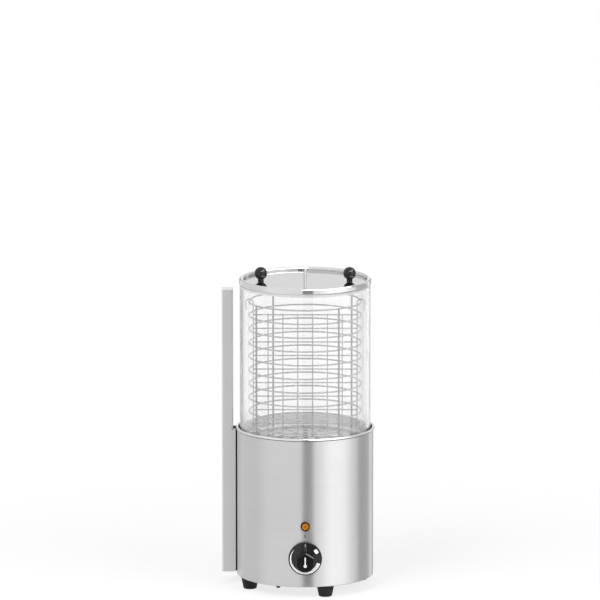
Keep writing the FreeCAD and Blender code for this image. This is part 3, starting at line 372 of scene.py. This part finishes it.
def polished_steel(name, level):
    """Mirror polish with hairline polishing marks and a few dull patches."""
    paint = Paint(name, Metallic=1.0)
    hair = paint.noise(1.0, (900, 60, 900), detail=3.0)
    haze = paint.noise(22.0, detail=2.0)
    paint.tone(haze, *greys(level, (0.96, 1.04)))
    marks = paint.maths("ADD", paint.spread(haze, 0.035, 0.07), paint.maths("MULTIPLY", hair, 0.03))
    paint.to("Roughness", marks)
    paint.bump(hair, POLISH_RELIEF, strength=0.1)
    return paint.material


def drawn_wire(name, level):
    """Drawn wire with slightly dull and uneven stretches."""
    paint = Paint(name, Metallic=1.0)
    dull = paint.noise(130.0, detail=4.0)
    paint.tone(dull, *greys(level, (0.87, 1.13)))
    paint.gloss(dull, 0.17, 0.32)
    paint.bump(dull, WIRE_RELIEF, strength=0.2)
    return paint.material


def weld_steel():
    """Weld spots: darker and rougher than the wire."""
    paint = Paint("weld_steel", Metallic=1.0)
    burnt = paint.noise(900.0, detail=4.0)
    paint.tone(burnt, (0.24, 0.22, 0.2, 1.0), (0.44, 0.43, 0.41, 1.0))
    paint.gloss(burnt, 0.32, 0.46)
    paint.bump(burnt, WELD_RELIEF, strength=0.4)
    return paint.material


def clear_glass():
    """Clear tube with ground, slightly frosted edges and a trace of tint."""
    paint = Paint("clear_glass", IOR=1.47, Transmission_Weight=0.93, Coat_Weight=0.5, Coat_IOR=1.8,
                  Coat_Roughness=0.0)
    low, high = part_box("glass_cylinder")
    height = paint.node("SeparateXYZ", {"Vector": paint.place()}).outputs["Z"]
    from_end = paint.maths("MINIMUM", paint.maths("SUBTRACT", height, low.z),
                           paint.maths("SUBTRACT", high.z, height))
    ground, clear = GLASS_EDGE
    edge = {"Value": from_end, "From Min": ground, "From Max": clear,
            "To Min": GLASS_EDGE_ROUGHNESS, "To Max": 0.0}
    paint.to("Roughness", paint.node("MapRange", edge).outputs["Result"])
    paint.tone(paint.noise(7.0, detail=1.0), GLASS_TINT, WHITE)
    return paint.material


def moulded(name, level, roughness, grain=700.0, relief=GRAIN_RELIEF, specular=0.5):
    """Moulded black plastic or rubber with a fine grain."""
    paint = Paint(name, Specular_IOR_Level=specular)
    rough = paint.noise(grain, detail=4.0)
    haze = paint.noise(60.0, detail=2.0)
    paint.tone(haze, *greys(level, (0.75, 1.3)))
    paint.gloss(rough, roughness * 0.85, roughness * 1.2)
    paint.bump(rough, relief, strength=0.25)
    return paint.material


def printed(name, dark, light):
    """Screen print with a slightly uneven ink."""
    paint = Paint(name, Specular_IOR_Level=0.4)
    ink = paint.noise(1500.0, detail=3.0)
    paint.tone(ink, grey(dark), grey(light))
    paint.gloss(ink, 0.38, 0.55)
    return paint.material


def amber_lens():
    """Amber lamp lens with facets in relief, coloured by radius and facet: the amber tint, with a brighter
    ring, a darker centre and a star painted on as light through the facets, and a faint glow in the same
    colours.
    """
    paint = Paint("amber_lens", Transmission_Weight=0.25, IOR=1.49, Coat_Weight=0.05, Coat_Roughness=0.05,
                  Specular_IOR_Level=0.2, Emission_Strength=0.08)
    centre = middle("lamp_lens")
    radius = (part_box("lamp_lens")[1].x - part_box("lamp_lens")[0].x) / 2
    place = paint.node("SeparateXYZ", {"Vector": paint.place()})
    across = paint.maths("DIVIDE", place.outputs["X"], radius)
    up = paint.maths("DIVIDE", paint.maths("SUBTRACT", place.outputs["Z"], centre.z), radius)
    away = paint.maths("SQRT", paint.maths("ADD", paint.maths("POWER", across, 2.0),
                                           paint.maths("POWER", up, 2.0)))
    turn = paint.maths("ARCTAN2", up, across)
    facets = paint.maths("SINE", paint.maths("MULTIPLY", turn, LENS_FACETS))
    star = paint.maths("MULTIPLY", facets, LENS_PAINTED_STAR_SHARE)
    # The ring, the centre and the star are painted light, in the base colour and in the glow
    ramp = paint.node("ValToRGB", {"Fac": paint.maths("ADD", away, star)})
    stops = ramp.color_ramp.elements
    first, *inner, last = LENS_TINT_AND_PAINTED_RING
    for stop, (share, colour) in zip(stops, (first, last)):
        stop.position = share
        stop.color = colour
    for share, colour in inner:
        stops.new(share).color = colour
    paint.to("Base Color", ramp.outputs["Color"])
    paint.to("Emission Color", ramp.outputs["Color"])
    paint.gloss(paint.noise(300.0), 0.1, 0.2)
    paint.bump(facets, FACET_RELIEF, strength=0.3)
    return paint.material


def mottled(name, colour, roughness, metallic=1.0, grain=260.0, specular=0.5):
    """Plated or cast metal, coloured plastic or sleeve, with a slightly uneven surface."""
    paint = Paint(name, Metallic=metallic, Specular_IOR_Level=specular)
    mottle = paint.noise(grain, detail=4.0)
    dark = tuple(channel * 0.8 for channel in colour) + (1.0,)
    paint.tone(mottle, dark, (*colour, 1.0))
    paint.gloss(mottle, roughness * 0.85, roughness * 1.2)
    paint.bump(mottle, GRAIN_RELIEF, strength=0.25)
    return paint.material


RINGS = [f"basket_ring_{i}" for i in range(1, RING_COUNT + 1)]
FEET = [f"foot_{i}" for i in range(1, FOOT_COUNT + 1)]
ZINC_PLATED = ["bottom_screws", "foot_screws", "post_screws", "lid_knob_screw_left", "lid_knob_screw_right",
               "thermostat_nut", "thermostat_shaft", "heater_stud", "heater_nut", "heater_clamp"]
knob_plastic = moulded("knob_plastic", level=0.005, roughness=0.13, grain=500.0, relief=KNOB_RELIEF,
                       specular=0.44)
knob_face = moulded("knob_face", level=0.005, roughness=0.3, grain=900.0, relief=FACE_RELIEF, specular=0.14)
fitting_plastic = moulded("fitting_plastic", level=0.016, roughness=0.3)

# Finishes of the carried-over nodes
FINISHES = [
    (brushed_round("shell_steel", level=0.62, lines=(5, 5, 1500), roughness=0.3, anisotropy=0.88),
     ["base_shell"]),
    (brushed_round("well_steel", level=0.66, lines=(14, 14, 700), roughness=0.24, anisotropy=0.6),
     ["water_well"]),
    (brushed_round("rim_steel", level=0.82, lines=(14, 14, 700), roughness=0.18, anisotropy=0.3),
     ["well_rim"]),
    (brushed("post_steel", level=0.72, lines=(700, 700, 3), roughness=0.34).material, ["side_post"]),
    (brushed("cap_steel", level=0.8, lines=(24, 900, 900), roughness=0.3).material, ["post_cap"]),
    (punched_plate(), ["perforated_plate"]),
    (brushed("bottom_steel", level=0.5, lines=(24, 700, 24), roughness=0.38).material,
     ["bottom_plate", "base_flange"]),
    (polished_steel("polished_steel", level=0.71), ["lid_ring", "hinge_pin"]),
    (polished_steel("flap_steel", level=0.5), ["flap_left", "flap_right"]),
    (drawn_wire("wire_steel", level=0.44),
     RINGS + ["divider_grid", "divider_hook_left", "divider_hook_right"]),
    # The uprights are the same drawn wire as the rings, painted much darker: a painted dark reflection
    (drawn_wire("upright_wire_painted_dark", level=0.16), ["basket_uprights"]),
    (clear_glass(), ["glass_cylinder"]),
    (moulded("foot_rubber", level=0.009, roughness=0.62, grain=420.0, relief=FOOT_RELIEF, specular=0.25),
     FEET),
    (moulded("packing_rubber", level=0.05, roughness=0.7, grain=300.0, relief=PACKING_RELIEF, specular=0.25),
     ["post_packing"]),
    (knob_plastic, ["control_knob", "lid_knob_left", "lid_knob_right"]),
    (fitting_plastic, ["reset_button", "cable_gland", "cable_gland_nut"]),
    (mottled("smoked_amber", colour=(0.06, 0.02, 0.002), roughness=0.35, metallic=0.0, specular=0.12),
     ["lamp_bezel"]),
    (amber_lens(), ["lamp_lens"]),
    (mottled("zinc_plate", colour=(0.6, 0.61, 0.62), roughness=0.32), ZINC_PLATED),
    (mottled("cast_aluminium", colour=(0.62, 0.62, 0.63), roughness=0.42, grain=500.0), ["heater_plate"]),
    (mottled("heat_darkened_sheath", colour=(0.2, 0.18, 0.16), roughness=0.5), ["heating_element"]),
    (mottled("bare_copper", colour=(0.72, 0.38, 0.24), roughness=0.3), ["thermostat_bulb"]),
    (moulded("control_housing", level=0.05, roughness=0.45),
     ["thermostat", "safety_limiter", "lamp_body", "lamp_nut"]),
    (mottled("terminal_plastic", colour=(0.78, 0.74, 0.64), roughness=0.5, metallic=0.0),
     ["terminal_block"]),
    (mottled("lead_sleeve", colour=(0.5, 0.07, 0.04), roughness=0.55, metallic=0.0), ["wiring"]),
]
for material, names in FINISHES:
    for name in names:
        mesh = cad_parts[name].data
        mesh.materials.clear()
        mesh.materials.append(material)

# The light that clear glass lets through reaches the pieces behind it
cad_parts["glass_cylinder"].visible_shadow = False


def keep_mesh(name, shape):
    """Turns a bmesh into an object in the scene, with its faces turned outwards."""
    bmesh.ops.recalc_face_normals(shape, faces=shape.faces)
    mesh = bpy.data.meshes.new(name)
    shape.to_mesh(mesh)
    shape.free()
    made = bpy.data.objects.new(name, mesh)
    bpy.context.scene.collection.objects.link(made)
    return made


def dress(made, material, body):
    """Gives a new piece its material, and lets it ride on a body."""
    made.data.materials.clear()
    made.data.materials.append(material)
    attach(made, body)


def smooth(mesh, angle=CRISP_ANGLE):
    """Smooth shading, with edges sharper than an angle kept crisp."""
    mesh.polygons.foreach_set("use_smooth", [True] * len(mesh.polygons))
    mesh.set_sharp_from_angle(angle=math.radians(angle))


def joined(base, operation, *tools):
    """Makes a base object one solid with tools, which are used up."""
    for tool in tools:
        step = base.modifiers.new(tool.name, "BOOLEAN")
        step.operation = operation
        step.solver = "EXACT"
        step.object = tool
    shape = bpy.data.meshes.new_from_object(base.evaluated_get(bpy.context.evaluated_depsgraph_get()))
    base.modifiers.clear()
    base.data = shape
    for tool in tools:
        bpy.data.objects.remove(tool)


def layers_solid(shape, layers):
    """A closed solid through rows of points, one row above the other, with flat ends."""
    rings = [[shape.verts.new(point) for point in layer] for layer in layers]
    count = len(rings[0])
    for below, above in zip(rings, rings[1:]):
        for i in range(count):
            after = (i + 1) % count
            shape.faces.new((below[i], below[after], above[after], above[i]))
    shape.faces.new(rings[0])
    shape.faces.new(rings[-1])


def slab(shape, rows, height, lift):
    """A closed plate between two rows of points across a face, raised by a height."""
    layers = []
    for level in (0.0, height):
        layers.append([[shape.verts.new(lift(u, v, level)) for u, v in row] for row in rows])
    inner, outer = 0, 1
    count = len(rows[0])
    for i in range(count - 1):
        for layer in layers:
            shape.faces.new((layer[inner][i], layer[inner][i + 1], layer[outer][i + 1], layer[outer][i]))
        for side in (inner, outer):
            shape.faces.new((layers[0][side][i], layers[0][side][i + 1],
                             layers[1][side][i + 1], layers[1][side][i]))
    for end in (0, count - 1):
        shape.faces.new((layers[0][inner][end], layers[0][outer][end],
                         layers[1][outer][end], layers[1][inner][end]))


def on_dial(u, v, out):
    """A point of the dial (right, up, out from the knob's back) in the frame."""
    return Vector((knob_centre.x + u, knob_high.y - out, knob_centre.z + v))


def polar(radius, angle):
    """A point of the dial, with the angle clockwise from the top in degrees."""
    turn = math.radians(angle)
    return radius * math.sin(turn), radius * math.cos(turn)


def rounded(corners):
    """An outline with its corners (u, v, radius) replaced by arcs."""
    points = []
    for i, (u, v, radius) in enumerate(corners):
        here = Vector((u, v))
        back = (Vector(corners[i - 1][:2]) - here).normalized()
        ahead = (Vector(corners[(i + 1) % len(corners)][:2]) - here).normalized()
        half = back.angle(ahead) / 2
        centre = here + (back + ahead).normalized() * (radius / math.sin(half))
        start = here + back * (radius / math.tan(half)) - centre
        end = here + ahead * (radius / math.tan(half)) - centre
        sweep = start.angle_signed(end)
        steps = max(ARC_LEAST_STEPS, int(abs(math.degrees(sweep)) / ARC_STEP_ANGLE))
        for k in range(steps + 1):
            points.append(centre + Matrix.Rotation(-sweep * k / steps, 2) @ start)
    return points


def drawn_in(points, inset):
    """An outline moved inwards, square to itself."""
    moved = []
    for i, point in enumerate(points):
        along = (points[(i + 1) % len(points)] - points[i - 1]).normalized()
        moved.append(point + Vector((-along.y, along.x)) * inset)
    return moved


def bevelled(name, corners, depth, bevel):
    """A raised block of the dial with a flat bevel along its front edge."""
    points = rounded(corners)
    area = sum(a.x * b.y - b.x * a.y for a, b in zip(points, points[1:] + points[:1]))
    if area < 0:
        points.reverse()
    levels = ((0.0, 0.0), (0.0, depth - bevel), (bevel, depth))
    shape = bmesh.new()
    layers_solid(shape, [[on_dial(p.x, p.y, out) for p in drawn_in(points, inset)] for inset, out in levels])
    return keep_mesh(name, shape)


def nose_section(v):
    """Height of the nose's crest, and half its width, at a level of the dial."""
    slope = max(0.0, (v - NOSE_SLOPE_START) / (NOSE_TOP - NOSE_SLOPE_START))
    from_end = min(1.0, max(0.0, NOSE_TOP - v) / NOSE_HALF_WIDTH)
    wide = NOSE_HALF_WIDTH * max(NOSE_TIP_SHARE, math.sqrt(1 - (1 - from_end) ** 2))
    return NOSE_DEPTH - NOSE_DROP * slope ** NOSE_CURVE, wide


def ridge(name):
    """The pointer nose: a round ridge that slopes down towards the edge of the dial."""
    shape = bmesh.new()
    layers = []
    turns = [math.pi * k / NOSE_STEPS for k in range(NOSE_STEPS + 1)]
    for i in range(SEGMENTS + 1):
        v = NOSE_TOP * i / SEGMENTS
        crest, wide = nose_section(v)
        layers.append([on_dial(wide * math.cos(turn), v, crest * math.sin(turn)) for turn in turns])
    layers_solid(shape, layers)
    return keep_mesh(name, shape)


def lathe(name, profile):
    """A solid of the dial turned from a profile (radius, out) whose ends lie on its axis."""
    shape = bmesh.new()
    rings = []
    for radius, out in profile:
        rings.append([shape.verts.new(on_dial(*polar(radius, 360 * i / SEGMENTS), out))
                      for i in range(SEGMENTS)])
    for below, above in zip(rings, rings[1:]):
        for i in range(SEGMENTS):
            after = (i + 1) % SEGMENTS
            shape.faces.new((below[i], below[after], above[after], above[i]))
    shape.faces.new(rings[0])
    shape.faces.new(rings[-1])
    return keep_mesh(name, shape)


def skirt_height(radius):
    """How far the coned face of the skirt stands out at a radius."""
    rim = knob_radius - SKIRT_ROUND
    slope = (SKIRT_CROWN - SKIRT_EDGE - SKIRT_ROUND) / (rim - SKIRT_CROWN_RADIUS)
    return SKIRT_EDGE + SKIRT_ROUND + (rim - radius) * slope


def knob_body():
    """The knob: coned skirt, gabled grip with a bevelled face, pointer nose, and hollow back."""
    edge = []
    for i in range(BEVEL_STEPS + 1):
        turn = math.pi / 2 * i / BEVEL_STEPS
        inset = SKIRT_ROUND * (1 - math.cos(turn))
        edge.append((knob_radius - inset, SKIRT_EDGE + SKIRT_ROUND * math.sin(turn)))
    skirt = lathe("knob_body", [(knob_radius, 0.0), *edge, (SKIRT_CROWN_RADIUS, SKIRT_CROWN)])
    grip = bevelled("knob_grip", [
        (0.0, GRIP_PEAK, GRIP_PEAK_ROUND),
        (GRIP_HALF_WIDTH, GRIP_EAVE, GRIP_EDGE_ROUND),
        (GRIP_HALF_WIDTH, -GRIP_BOTTOM, GRIP_BOTTOM_ROUND),
        (-GRIP_HALF_WIDTH, -GRIP_BOTTOM, GRIP_BOTTOM_ROUND),
        (-GRIP_HALF_WIDTH, GRIP_EAVE, GRIP_EDGE_ROUND),
    ], GRIP_FACE, GRIP_BEVEL)
    nose = ridge("knob_nose")
    recess = lathe("knob_recess", [(RECESS_RADIUS, -CUT_OVERRUN), (RECESS_RADIUS, RECESS_DEPTH)])
    bore = lathe("knob_bore", [(BORE_RADIUS, -CUT_OVERRUN), (BORE_RADIUS, BORE_DEPTH)])
    joined(skirt, "UNION", grip, nose)
    joined(skirt, "DIFFERENCE", recess, bore)
    smooth(skirt.data)
    dress(skirt, knob_plastic, "knob")
    skirt.data.materials.append(knob_face)
    face_y = knob_high.y - GRIP_FACE
    for polygon in skirt.data.polygons:
        polygon.material_index = int(abs(polygon.center.y - face_y) < FACE_TOLERANCE)
    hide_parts("control_knob")


def on_skirt(u, v, out):
    """A point on the coned face of the skirt, raised by out."""
    return on_dial(u, v, skirt_height(math.hypot(u, v)) + out)


def on_grip(u, v, out):
    """A point on the face of the grip, raised by out."""
    return on_dial(u, v, GRIP_FACE + out)


def on_nose(u, v, out):
    """A point on the rounded crest of the nose, raised by out."""
    crest, wide = nose_section(v)
    return on_dial(u, v, crest * math.sqrt(1 - (u / wide) ** 2) + out)


def dial_ramp(shape):
    """The white ramp that grows round the lower left of the dial."""
    inner = []
    outer = []
    for i in range(SEGMENTS + 1):
        t = i / SEGMENTS
        angle = RAMP_START_ANGLE + RAMP_SWEEP_ANGLE * t
        near = RAMP_INNER_SHARES[0] + (RAMP_INNER_SHARES[1] - RAMP_INNER_SHARES[0]) * t
        swell = 1 - math.exp(-t / RAMP_RISE_SHARE)
        far = RAMP_OUTER_SHARES[0] + (RAMP_OUTER_SHARES[1] - RAMP_OUTER_SHARES[0]) * swell
        inner.append(polar(near * knob_radius, angle))
        outer.append(polar(far * knob_radius, angle))
    slab(shape, (inner, outer), PRINT_HEIGHT, on_skirt)


def dial_block(shape):
    """The white block at the upper right of the dial."""
    deep, wide = (share * knob_radius / 2 for share in BLOCK_SIZE_SHARES)
    centre = Vector(polar(BLOCK_RADIUS_SHARE * knob_radius, BLOCK_ANGLE))
    along = Vector(polar(1, BLOCK_ANGLE))
    across = Vector(polar(1, BLOCK_ANGLE + 90))
    rows = []
    for side in (-deep, deep):
        rows.append([centre + along * side + across * wide * (2 * i / BLOCK_STEPS - 1)
                     for i in range(BLOCK_STEPS + 1)])
    slab(shape, rows, PRINT_HEIGHT, on_skirt)


def thermometer(shape):
    """A plain thermometer sign: a round-ended stem and a ring-shaped bulb."""
    half = STEM_WIDTH_SHARE * knob_radius / 2
    low, high = (share * knob_radius for share in STEM_SHARES)
    left = [(-half, low)]
    right = [(half, low)]
    for i in range(STEM_STEPS + 1):
        turn = math.pi / 2 * i / STEM_STEPS
        rise = high - half + half * math.sin(turn)
        reach = max(half * math.cos(turn), half * STEM_TIP_SHARE)
        left.append((-reach, rise))
        right.append((reach, rise))
    slab(shape, (left, right), PRINT_HEIGHT, on_grip)
    rows = []
    for share in (BULB_DOT_SHARE, BULB_RADIUS_SHARE):
        ring = [polar(share * knob_radius, 360 * i / SEGMENTS) for i in range(SEGMENTS + 1)]
        rows.append([(u, v + BULB_SHARE * knob_radius) for u, v in ring])
    slab(shape, rows, PRINT_HEIGHT, on_grip)


def nose_highlight_mark(shape):
    """A grey mark along the crest of the nose: a painted highlight."""
    half = NOSE_HIGHLIGHT_WIDTH_SHARE * knob_radius / 2
    low, high = (share * knob_radius for share in NOSE_HIGHLIGHT_SHARES)
    left = []
    right = []
    for i in range(NOSE_HIGHLIGHT_STEPS + 1):
        v = low + (high - low) * i / NOSE_HIGHLIGHT_STEPS
        reach = half * max(NOSE_HIGHLIGHT_TIP_SHARE, math.sin(math.pi * i / NOSE_HIGHLIGHT_STEPS))
        left.append((-reach, v))
        right.append((reach, v))
    slab(shape, (left, right), PRINT_HEIGHT, on_nose)


def dial_print():
    """White print on the skirt's face and on the grip's face, and a grey painted highlight on the nose."""
    white = printed("dial_white", dark=0.7, light=0.8)
    pale = printed("painted_nose_highlight", dark=0.2, light=0.3)
    shape = bmesh.new()
    dial_ramp(shape)
    dial_block(shape)
    dress(keep_mesh("dial_scale", shape), white, "knob")
    shape = bmesh.new()
    thermometer(shape)
    dress(keep_mesh("dial_thermometer", shape), white, "knob")
    shape = bmesh.new()
    nose_highlight_mark(shape)
    dress(keep_mesh("dial_nose_highlight", shape), pale, "knob")


def index_mark():
    """The small dark mark on the shell that the knob is set against."""
    def on_shell(u, v, out):
        turn = u / base_radius
        radius = base_radius + out
        return Vector((radius * math.sin(turn), -radius * math.cos(turn), MARK_LEVEL + v))

    low, high = (width / 2 for width in MARK_WIDTHS)
    rows = []
    for side in (-1, 1):
        rows.append([(side * low, -MARK_HEIGHT / 2), (side * high, MARK_HEIGHT / 2)])
    shape = bmesh.new()
    slab(shape, rows, PRINT_HEIGHT, on_shell)
    ink = printed("dark_print", dark=0.06, light=0.12)
    dress(keep_mesh("index_mark", shape), ink, "base")


def rim_shade_strip():
    """A narrow dark strip with a rounded face between the shell and the rolled rim: painted shade in the
    crease under the rim.
    """
    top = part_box("well_rim")[1].z - SHADE_STRIP_DROP
    section = []
    for i in range(BEVEL_STEPS * 2 + 1):
        turn = math.pi * i / (BEVEL_STEPS * 2)
        drop = SHADE_STRIP_HEIGHT * (1 - math.cos(turn)) / 2
        section.append((base_radius + SHADE_STRIP_DEPTH * math.sin(turn), top - drop))
    shape = bmesh.new()
    rings = []
    for i in range(SEGMENTS * 2):
        turn = math.pi * i / SEGMENTS
        rings.append([shape.verts.new((r * math.sin(turn), -r * math.cos(turn), z)) for r, z in section])
    for i, ring in enumerate(rings):
        after = rings[(i + 1) % len(rings)]
        for k in range(len(section)):
            nearby = (k + 1) % len(section)
            shape.faces.new((ring[k], after[k], after[nearby], ring[nearby]))
    shade_strip = keep_mesh("rim_shade_strip", shape)
    smooth(shade_strip.data)
    # Near-black colour of the strip: painted shade
    shade_paint = moulded("painted_rim_shade", level=0.02, roughness=0.6, specular=0.2)
    dress(shade_strip, shade_paint, "base")


def nugget(shape, spot, turn, sizes, seed):
    """A weld nugget: a flattened lump whose surface is a little uneven."""
    matrix = Matrix.Translation(spot) @ Matrix.Rotation(turn, 4, "Z") @ Matrix.Diagonal((*sizes, 1))
    made = bmesh.ops.create_icosphere(shape, subdivisions=WELD_SUBDIVISIONS, radius=1.0, matrix=matrix)
    by_seed, by_vert = WELD_BEATS
    for i, vert in enumerate(made["verts"]):
        swell = WELD_SWELL_SHARE * math.sin(seed * by_seed + i * by_vert)
        vert.co += (vert.co - spot) * swell


def weld_spots():
    """Weld nuggets where the basket's uprights and the divider's wires cross."""
    material = weld_steel()
    shape = bmesh.new()
    for i, ring in enumerate(RINGS):
        low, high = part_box(ring)
        for k in range(UPRIGHT_COUNT):
            turn = math.radians(UPRIGHT_FIRST_ANGLE + k * 360 / UPRIGHT_COUNT)
            spot = Vector((high.x * math.sin(turn), -high.x * math.cos(turn), (low.z + high.z) / 2))
            nugget(shape, spot, turn + math.pi / 2, RING_WELD, i + k)
    welds = keep_mesh("basket_welds", shape)
    smooth(welds.data, WELD_CRISP_ANGLE)
    dress(welds, material, "basket")

    low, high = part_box("divider_grid")
    half = high.x - GRID_WIRE_RADIUS
    bottom = low.z + GRID_WIRE_RADIUS
    rise = high.z - low.z - GRID_WIRE_RADIUS * 2
    depth = (low.y + high.y) / 2
    shape = bmesh.new()
    for i in range(GRID_COLUMNS):
        for k in range(GRID_ROWS):
            x = half * (2 * i / (GRID_COLUMNS - 1) - 1)
            z = bottom + rise * k / (GRID_ROWS - 1)
            nugget(shape, Vector((x, depth, z)), 0.0, GRID_WELD, i * 3 + k)
    welds = keep_mesh("divider_welds", shape)
    smooth(welds.data, WELD_CRISP_ANGLE)
    dress(welds, material, "divider")


def gland_ribs():
    """Grip ribs round the dome of the cable gland."""
    low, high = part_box("cable_gland")
    axis_z = (low.z + high.z) / 2
    wide, length, tall = RIB_SIZE
    middle_y = high.y - GLAND_DOME_LENGTH / 2 - (GLAND_DOME_LENGTH - length) / 4
    shape = bmesh.new()
    for i in range(GLAND_RIBS):
        turn = Matrix.Rotation(math.tau * i / GLAND_RIBS, 4, "Y")
        out = Matrix.Translation((0, 0, GLAND_DOME_RADIUS))
        spot = Matrix.Translation((0, middle_y, axis_z)) @ turn @ out
        size = Matrix.Diagonal((wide, length, tall, 1))
        made = bmesh.ops.create_cube(shape, size=1.0, matrix=spot @ size)
        edges = {edge for vert in made["verts"] for edge in vert.link_edges}
        bmesh.ops.bevel(shape, geom=list(edges), offset=wide * RIB_BEVEL_SHARE, segments=RIB_BEVEL_STEPS,
                        affect="EDGES", profile=0.5)
    ribs = keep_mesh("gland_ribs", shape)
    smooth(ribs.data)
    dress(ribs, fitting_plastic, "base")


knob_body()
dial_print()
index_mark()
rim_shade_strip()
weld_spots()
gland_ribs()


def area_light(name, power, size, place):
    """A soft box that lights surfaces without showing in them."""
    light = bpy.data.lights.new(name, "AREA")
    light.energy = power
    light.shape = "RECTANGLE"
    light.size, light.size_y = size
    lamp = bpy.data.objects.new(name, light)
    lamp.location = place
    lamp.rotation_euler = (Vector(LIGHT_AIM) - Vector(place)).to_track_quat("-Z", "Y").to_euler()
    lamp.visible_glossy = False
    lamp.visible_transmission = False
    bpy.context.scene.collection.objects.link(lamp)


def card(name, level, azimuth, half_angle, feather, low=CARD_LOW, high=CARD_HIGH, distance=CARD_DISTANCE):
    """A reflector or flag: an upright curved card with soft sides, seen in reflections alone."""
    shape = bmesh.new()
    rows = []
    for i in range(CARD_STEPS + 1):
        turn = math.radians(azimuth + half_angle * (2 * i / CARD_STEPS - 1))
        x, y = distance * math.sin(turn), -distance * math.cos(turn)
        rows.append([shape.verts.new((x, y, z)) for z in (low, high)])
    for before, after in zip(rows, rows[1:]):
        shape.faces.new((before[0], after[0], after[1], before[1]))
    made = keep_mesh(name, shape)
    made.visible_camera = False
    made.visible_diffuse = False
    made.visible_transmission = False
    made.visible_shadow = False
    paint = Paint(name)
    place = paint.node("SeparateXYZ", {"Vector": paint.place()})
    turn = paint.maths("ARCTAN2", place.outputs["X"], paint.maths("MULTIPLY", place.outputs["Y"], -1.0))
    off = paint.maths("ABSOLUTE", paint.maths("SUBTRACT", turn, math.radians(azimuth)))
    fade = {"Value": off, "From Min": math.radians(half_angle - feather),
            "From Max": math.radians(half_angle)}
    share = paint.node("MapRange", fade, interpolation_type="SMOOTHSTEP").outputs["Result"]
    glow = paint.node("Emission", {"Color": WHITE, "Strength": level})
    both = paint.node("MixShader", {"Fac": share})
    paint.feed(both.inputs[1], glow.outputs[0])
    paint.feed(both.inputs[2], paint.node("BsdfTransparent").outputs[0])
    paint.feed(paint.tree.nodes["Material Output"].inputs["Surface"], both.outputs[0])
    paint.tree.nodes.remove(paint.shader)
    made.data.materials.append(paint.material)


def seen_rays(tree):
    """1 for camera, glossy and transmission rays, 0 for the rest."""
    path = tree.nodes.new("ShaderNodeLightPath")
    total = path.outputs["Is Camera Ray"]
    for ray in ("Is Glossy Ray", "Is Transmission Ray"):
        either = tree.nodes.new("ShaderNodeMath")
        either.operation = "MAXIMUM"
        tree.links.new(total, either.inputs[0])
        tree.links.new(path.outputs[ray], either.inputs[1])
        total = either.outputs[0]
    return total


def white_world():
    """White where it shows, and a level ambient light elsewhere."""
    world = bpy.data.worlds.new("studio")
    bpy.context.scene.world = world
    world.use_nodes = True
    tree = world.node_tree
    background = tree.nodes["Background"]
    background.inputs["Color"].default_value = WHITE
    strength = tree.nodes.new("ShaderNodeMapRange")
    tree.links.new(seen_rays(tree), strength.inputs["Value"])
    strength.inputs["To Min"].default_value = AMBIENT
    strength.inputs["To Max"].default_value = 1.0
    tree.links.new(strength.outputs["Result"], background.inputs["Strength"])


def pale_floor():
    """A pale floor that keeps the object's shadow and turns white further away."""
    shape = bmesh.new()
    bmesh.ops.create_circle(shape, cap_ends=True, radius=FLOOR_RADIUS, segments=FLOOR_SEGMENTS)
    floor = keep_mesh("floor", shape)
    floor.location.z = cad_box[0][2] - FLOOR_DROP
    floor.visible_glossy = False
    paint = Paint("floor")
    away = paint.node("VectorMath", {0: paint.place()}, operation="LENGTH").outputs["Value"]
    reach = {"Value": away, "From Min": FLOOR_NEAR, "From Max": FLOOR_FAR, "To Min": FLOOR_GLOW_NEAR}
    glow_share = paint.node("MapRange", reach, interpolation_type="SMOOTHSTEP").outputs["Result"]
    share = paint.maths("MULTIPLY", seen_rays(paint.tree), glow_share)
    plain = paint.node("BsdfDiffuse", {"Color": grey(FLOOR_SHADE)})
    both = paint.node("MixShader", {"Fac": share})
    paint.feed(both.inputs[1], plain.outputs[0])
    paint.feed(both.inputs[2], paint.node("Emission", {"Color": WHITE}).outputs[0])
    paint.feed(paint.tree.nodes["Material Output"].inputs["Surface"], both.outputs[0])
    paint.tree.nodes.remove(paint.shader)
    floor.data.materials.append(paint.material)


def studio():
    """Background, floor, soft boxes, and the cards that draw the bands on the steel."""
    white_world()
    pale_floor()
    area_light("key_light", KEY_POWER, KEY_SIZE, KEY_PLACE)
    area_light("fill_light", FILL_POWER, FILL_SIZE, FILL_PLACE)
    for name, settings in CARDS.items():
        card(name, *settings)
    card("high_box", *HIGH_BOX, HIGH_BOX_LOW, HIGH_BOX_HIGH, HIGH_BOX_DISTANCE)


def photo_camera():
    """The photograph's viewpoint: from the front, a little above, far away."""
    lens = bpy.data.cameras.new("camera")
    lens.lens = CAMERA_LENS
    lens.sensor_width = SENSOR_WIDTH
    lens.clip_end = CLIP_END
    camera = bpy.data.objects.new("camera", lens)
    target = Vector(CAMERA_TARGET)
    camera.location = (target.x, -CAMERA_DISTANCE, CAMERA_HEIGHT)
    camera.rotation_euler = (target - camera.location).to_track_quat("-Z", "Y").to_euler()
    bpy.context.scene.collection.objects.link(camera)
    bpy.context.scene.camera = camera


studio()
photo_camera()
bpy.context.scene.view_settings.view_transform = "Standard"
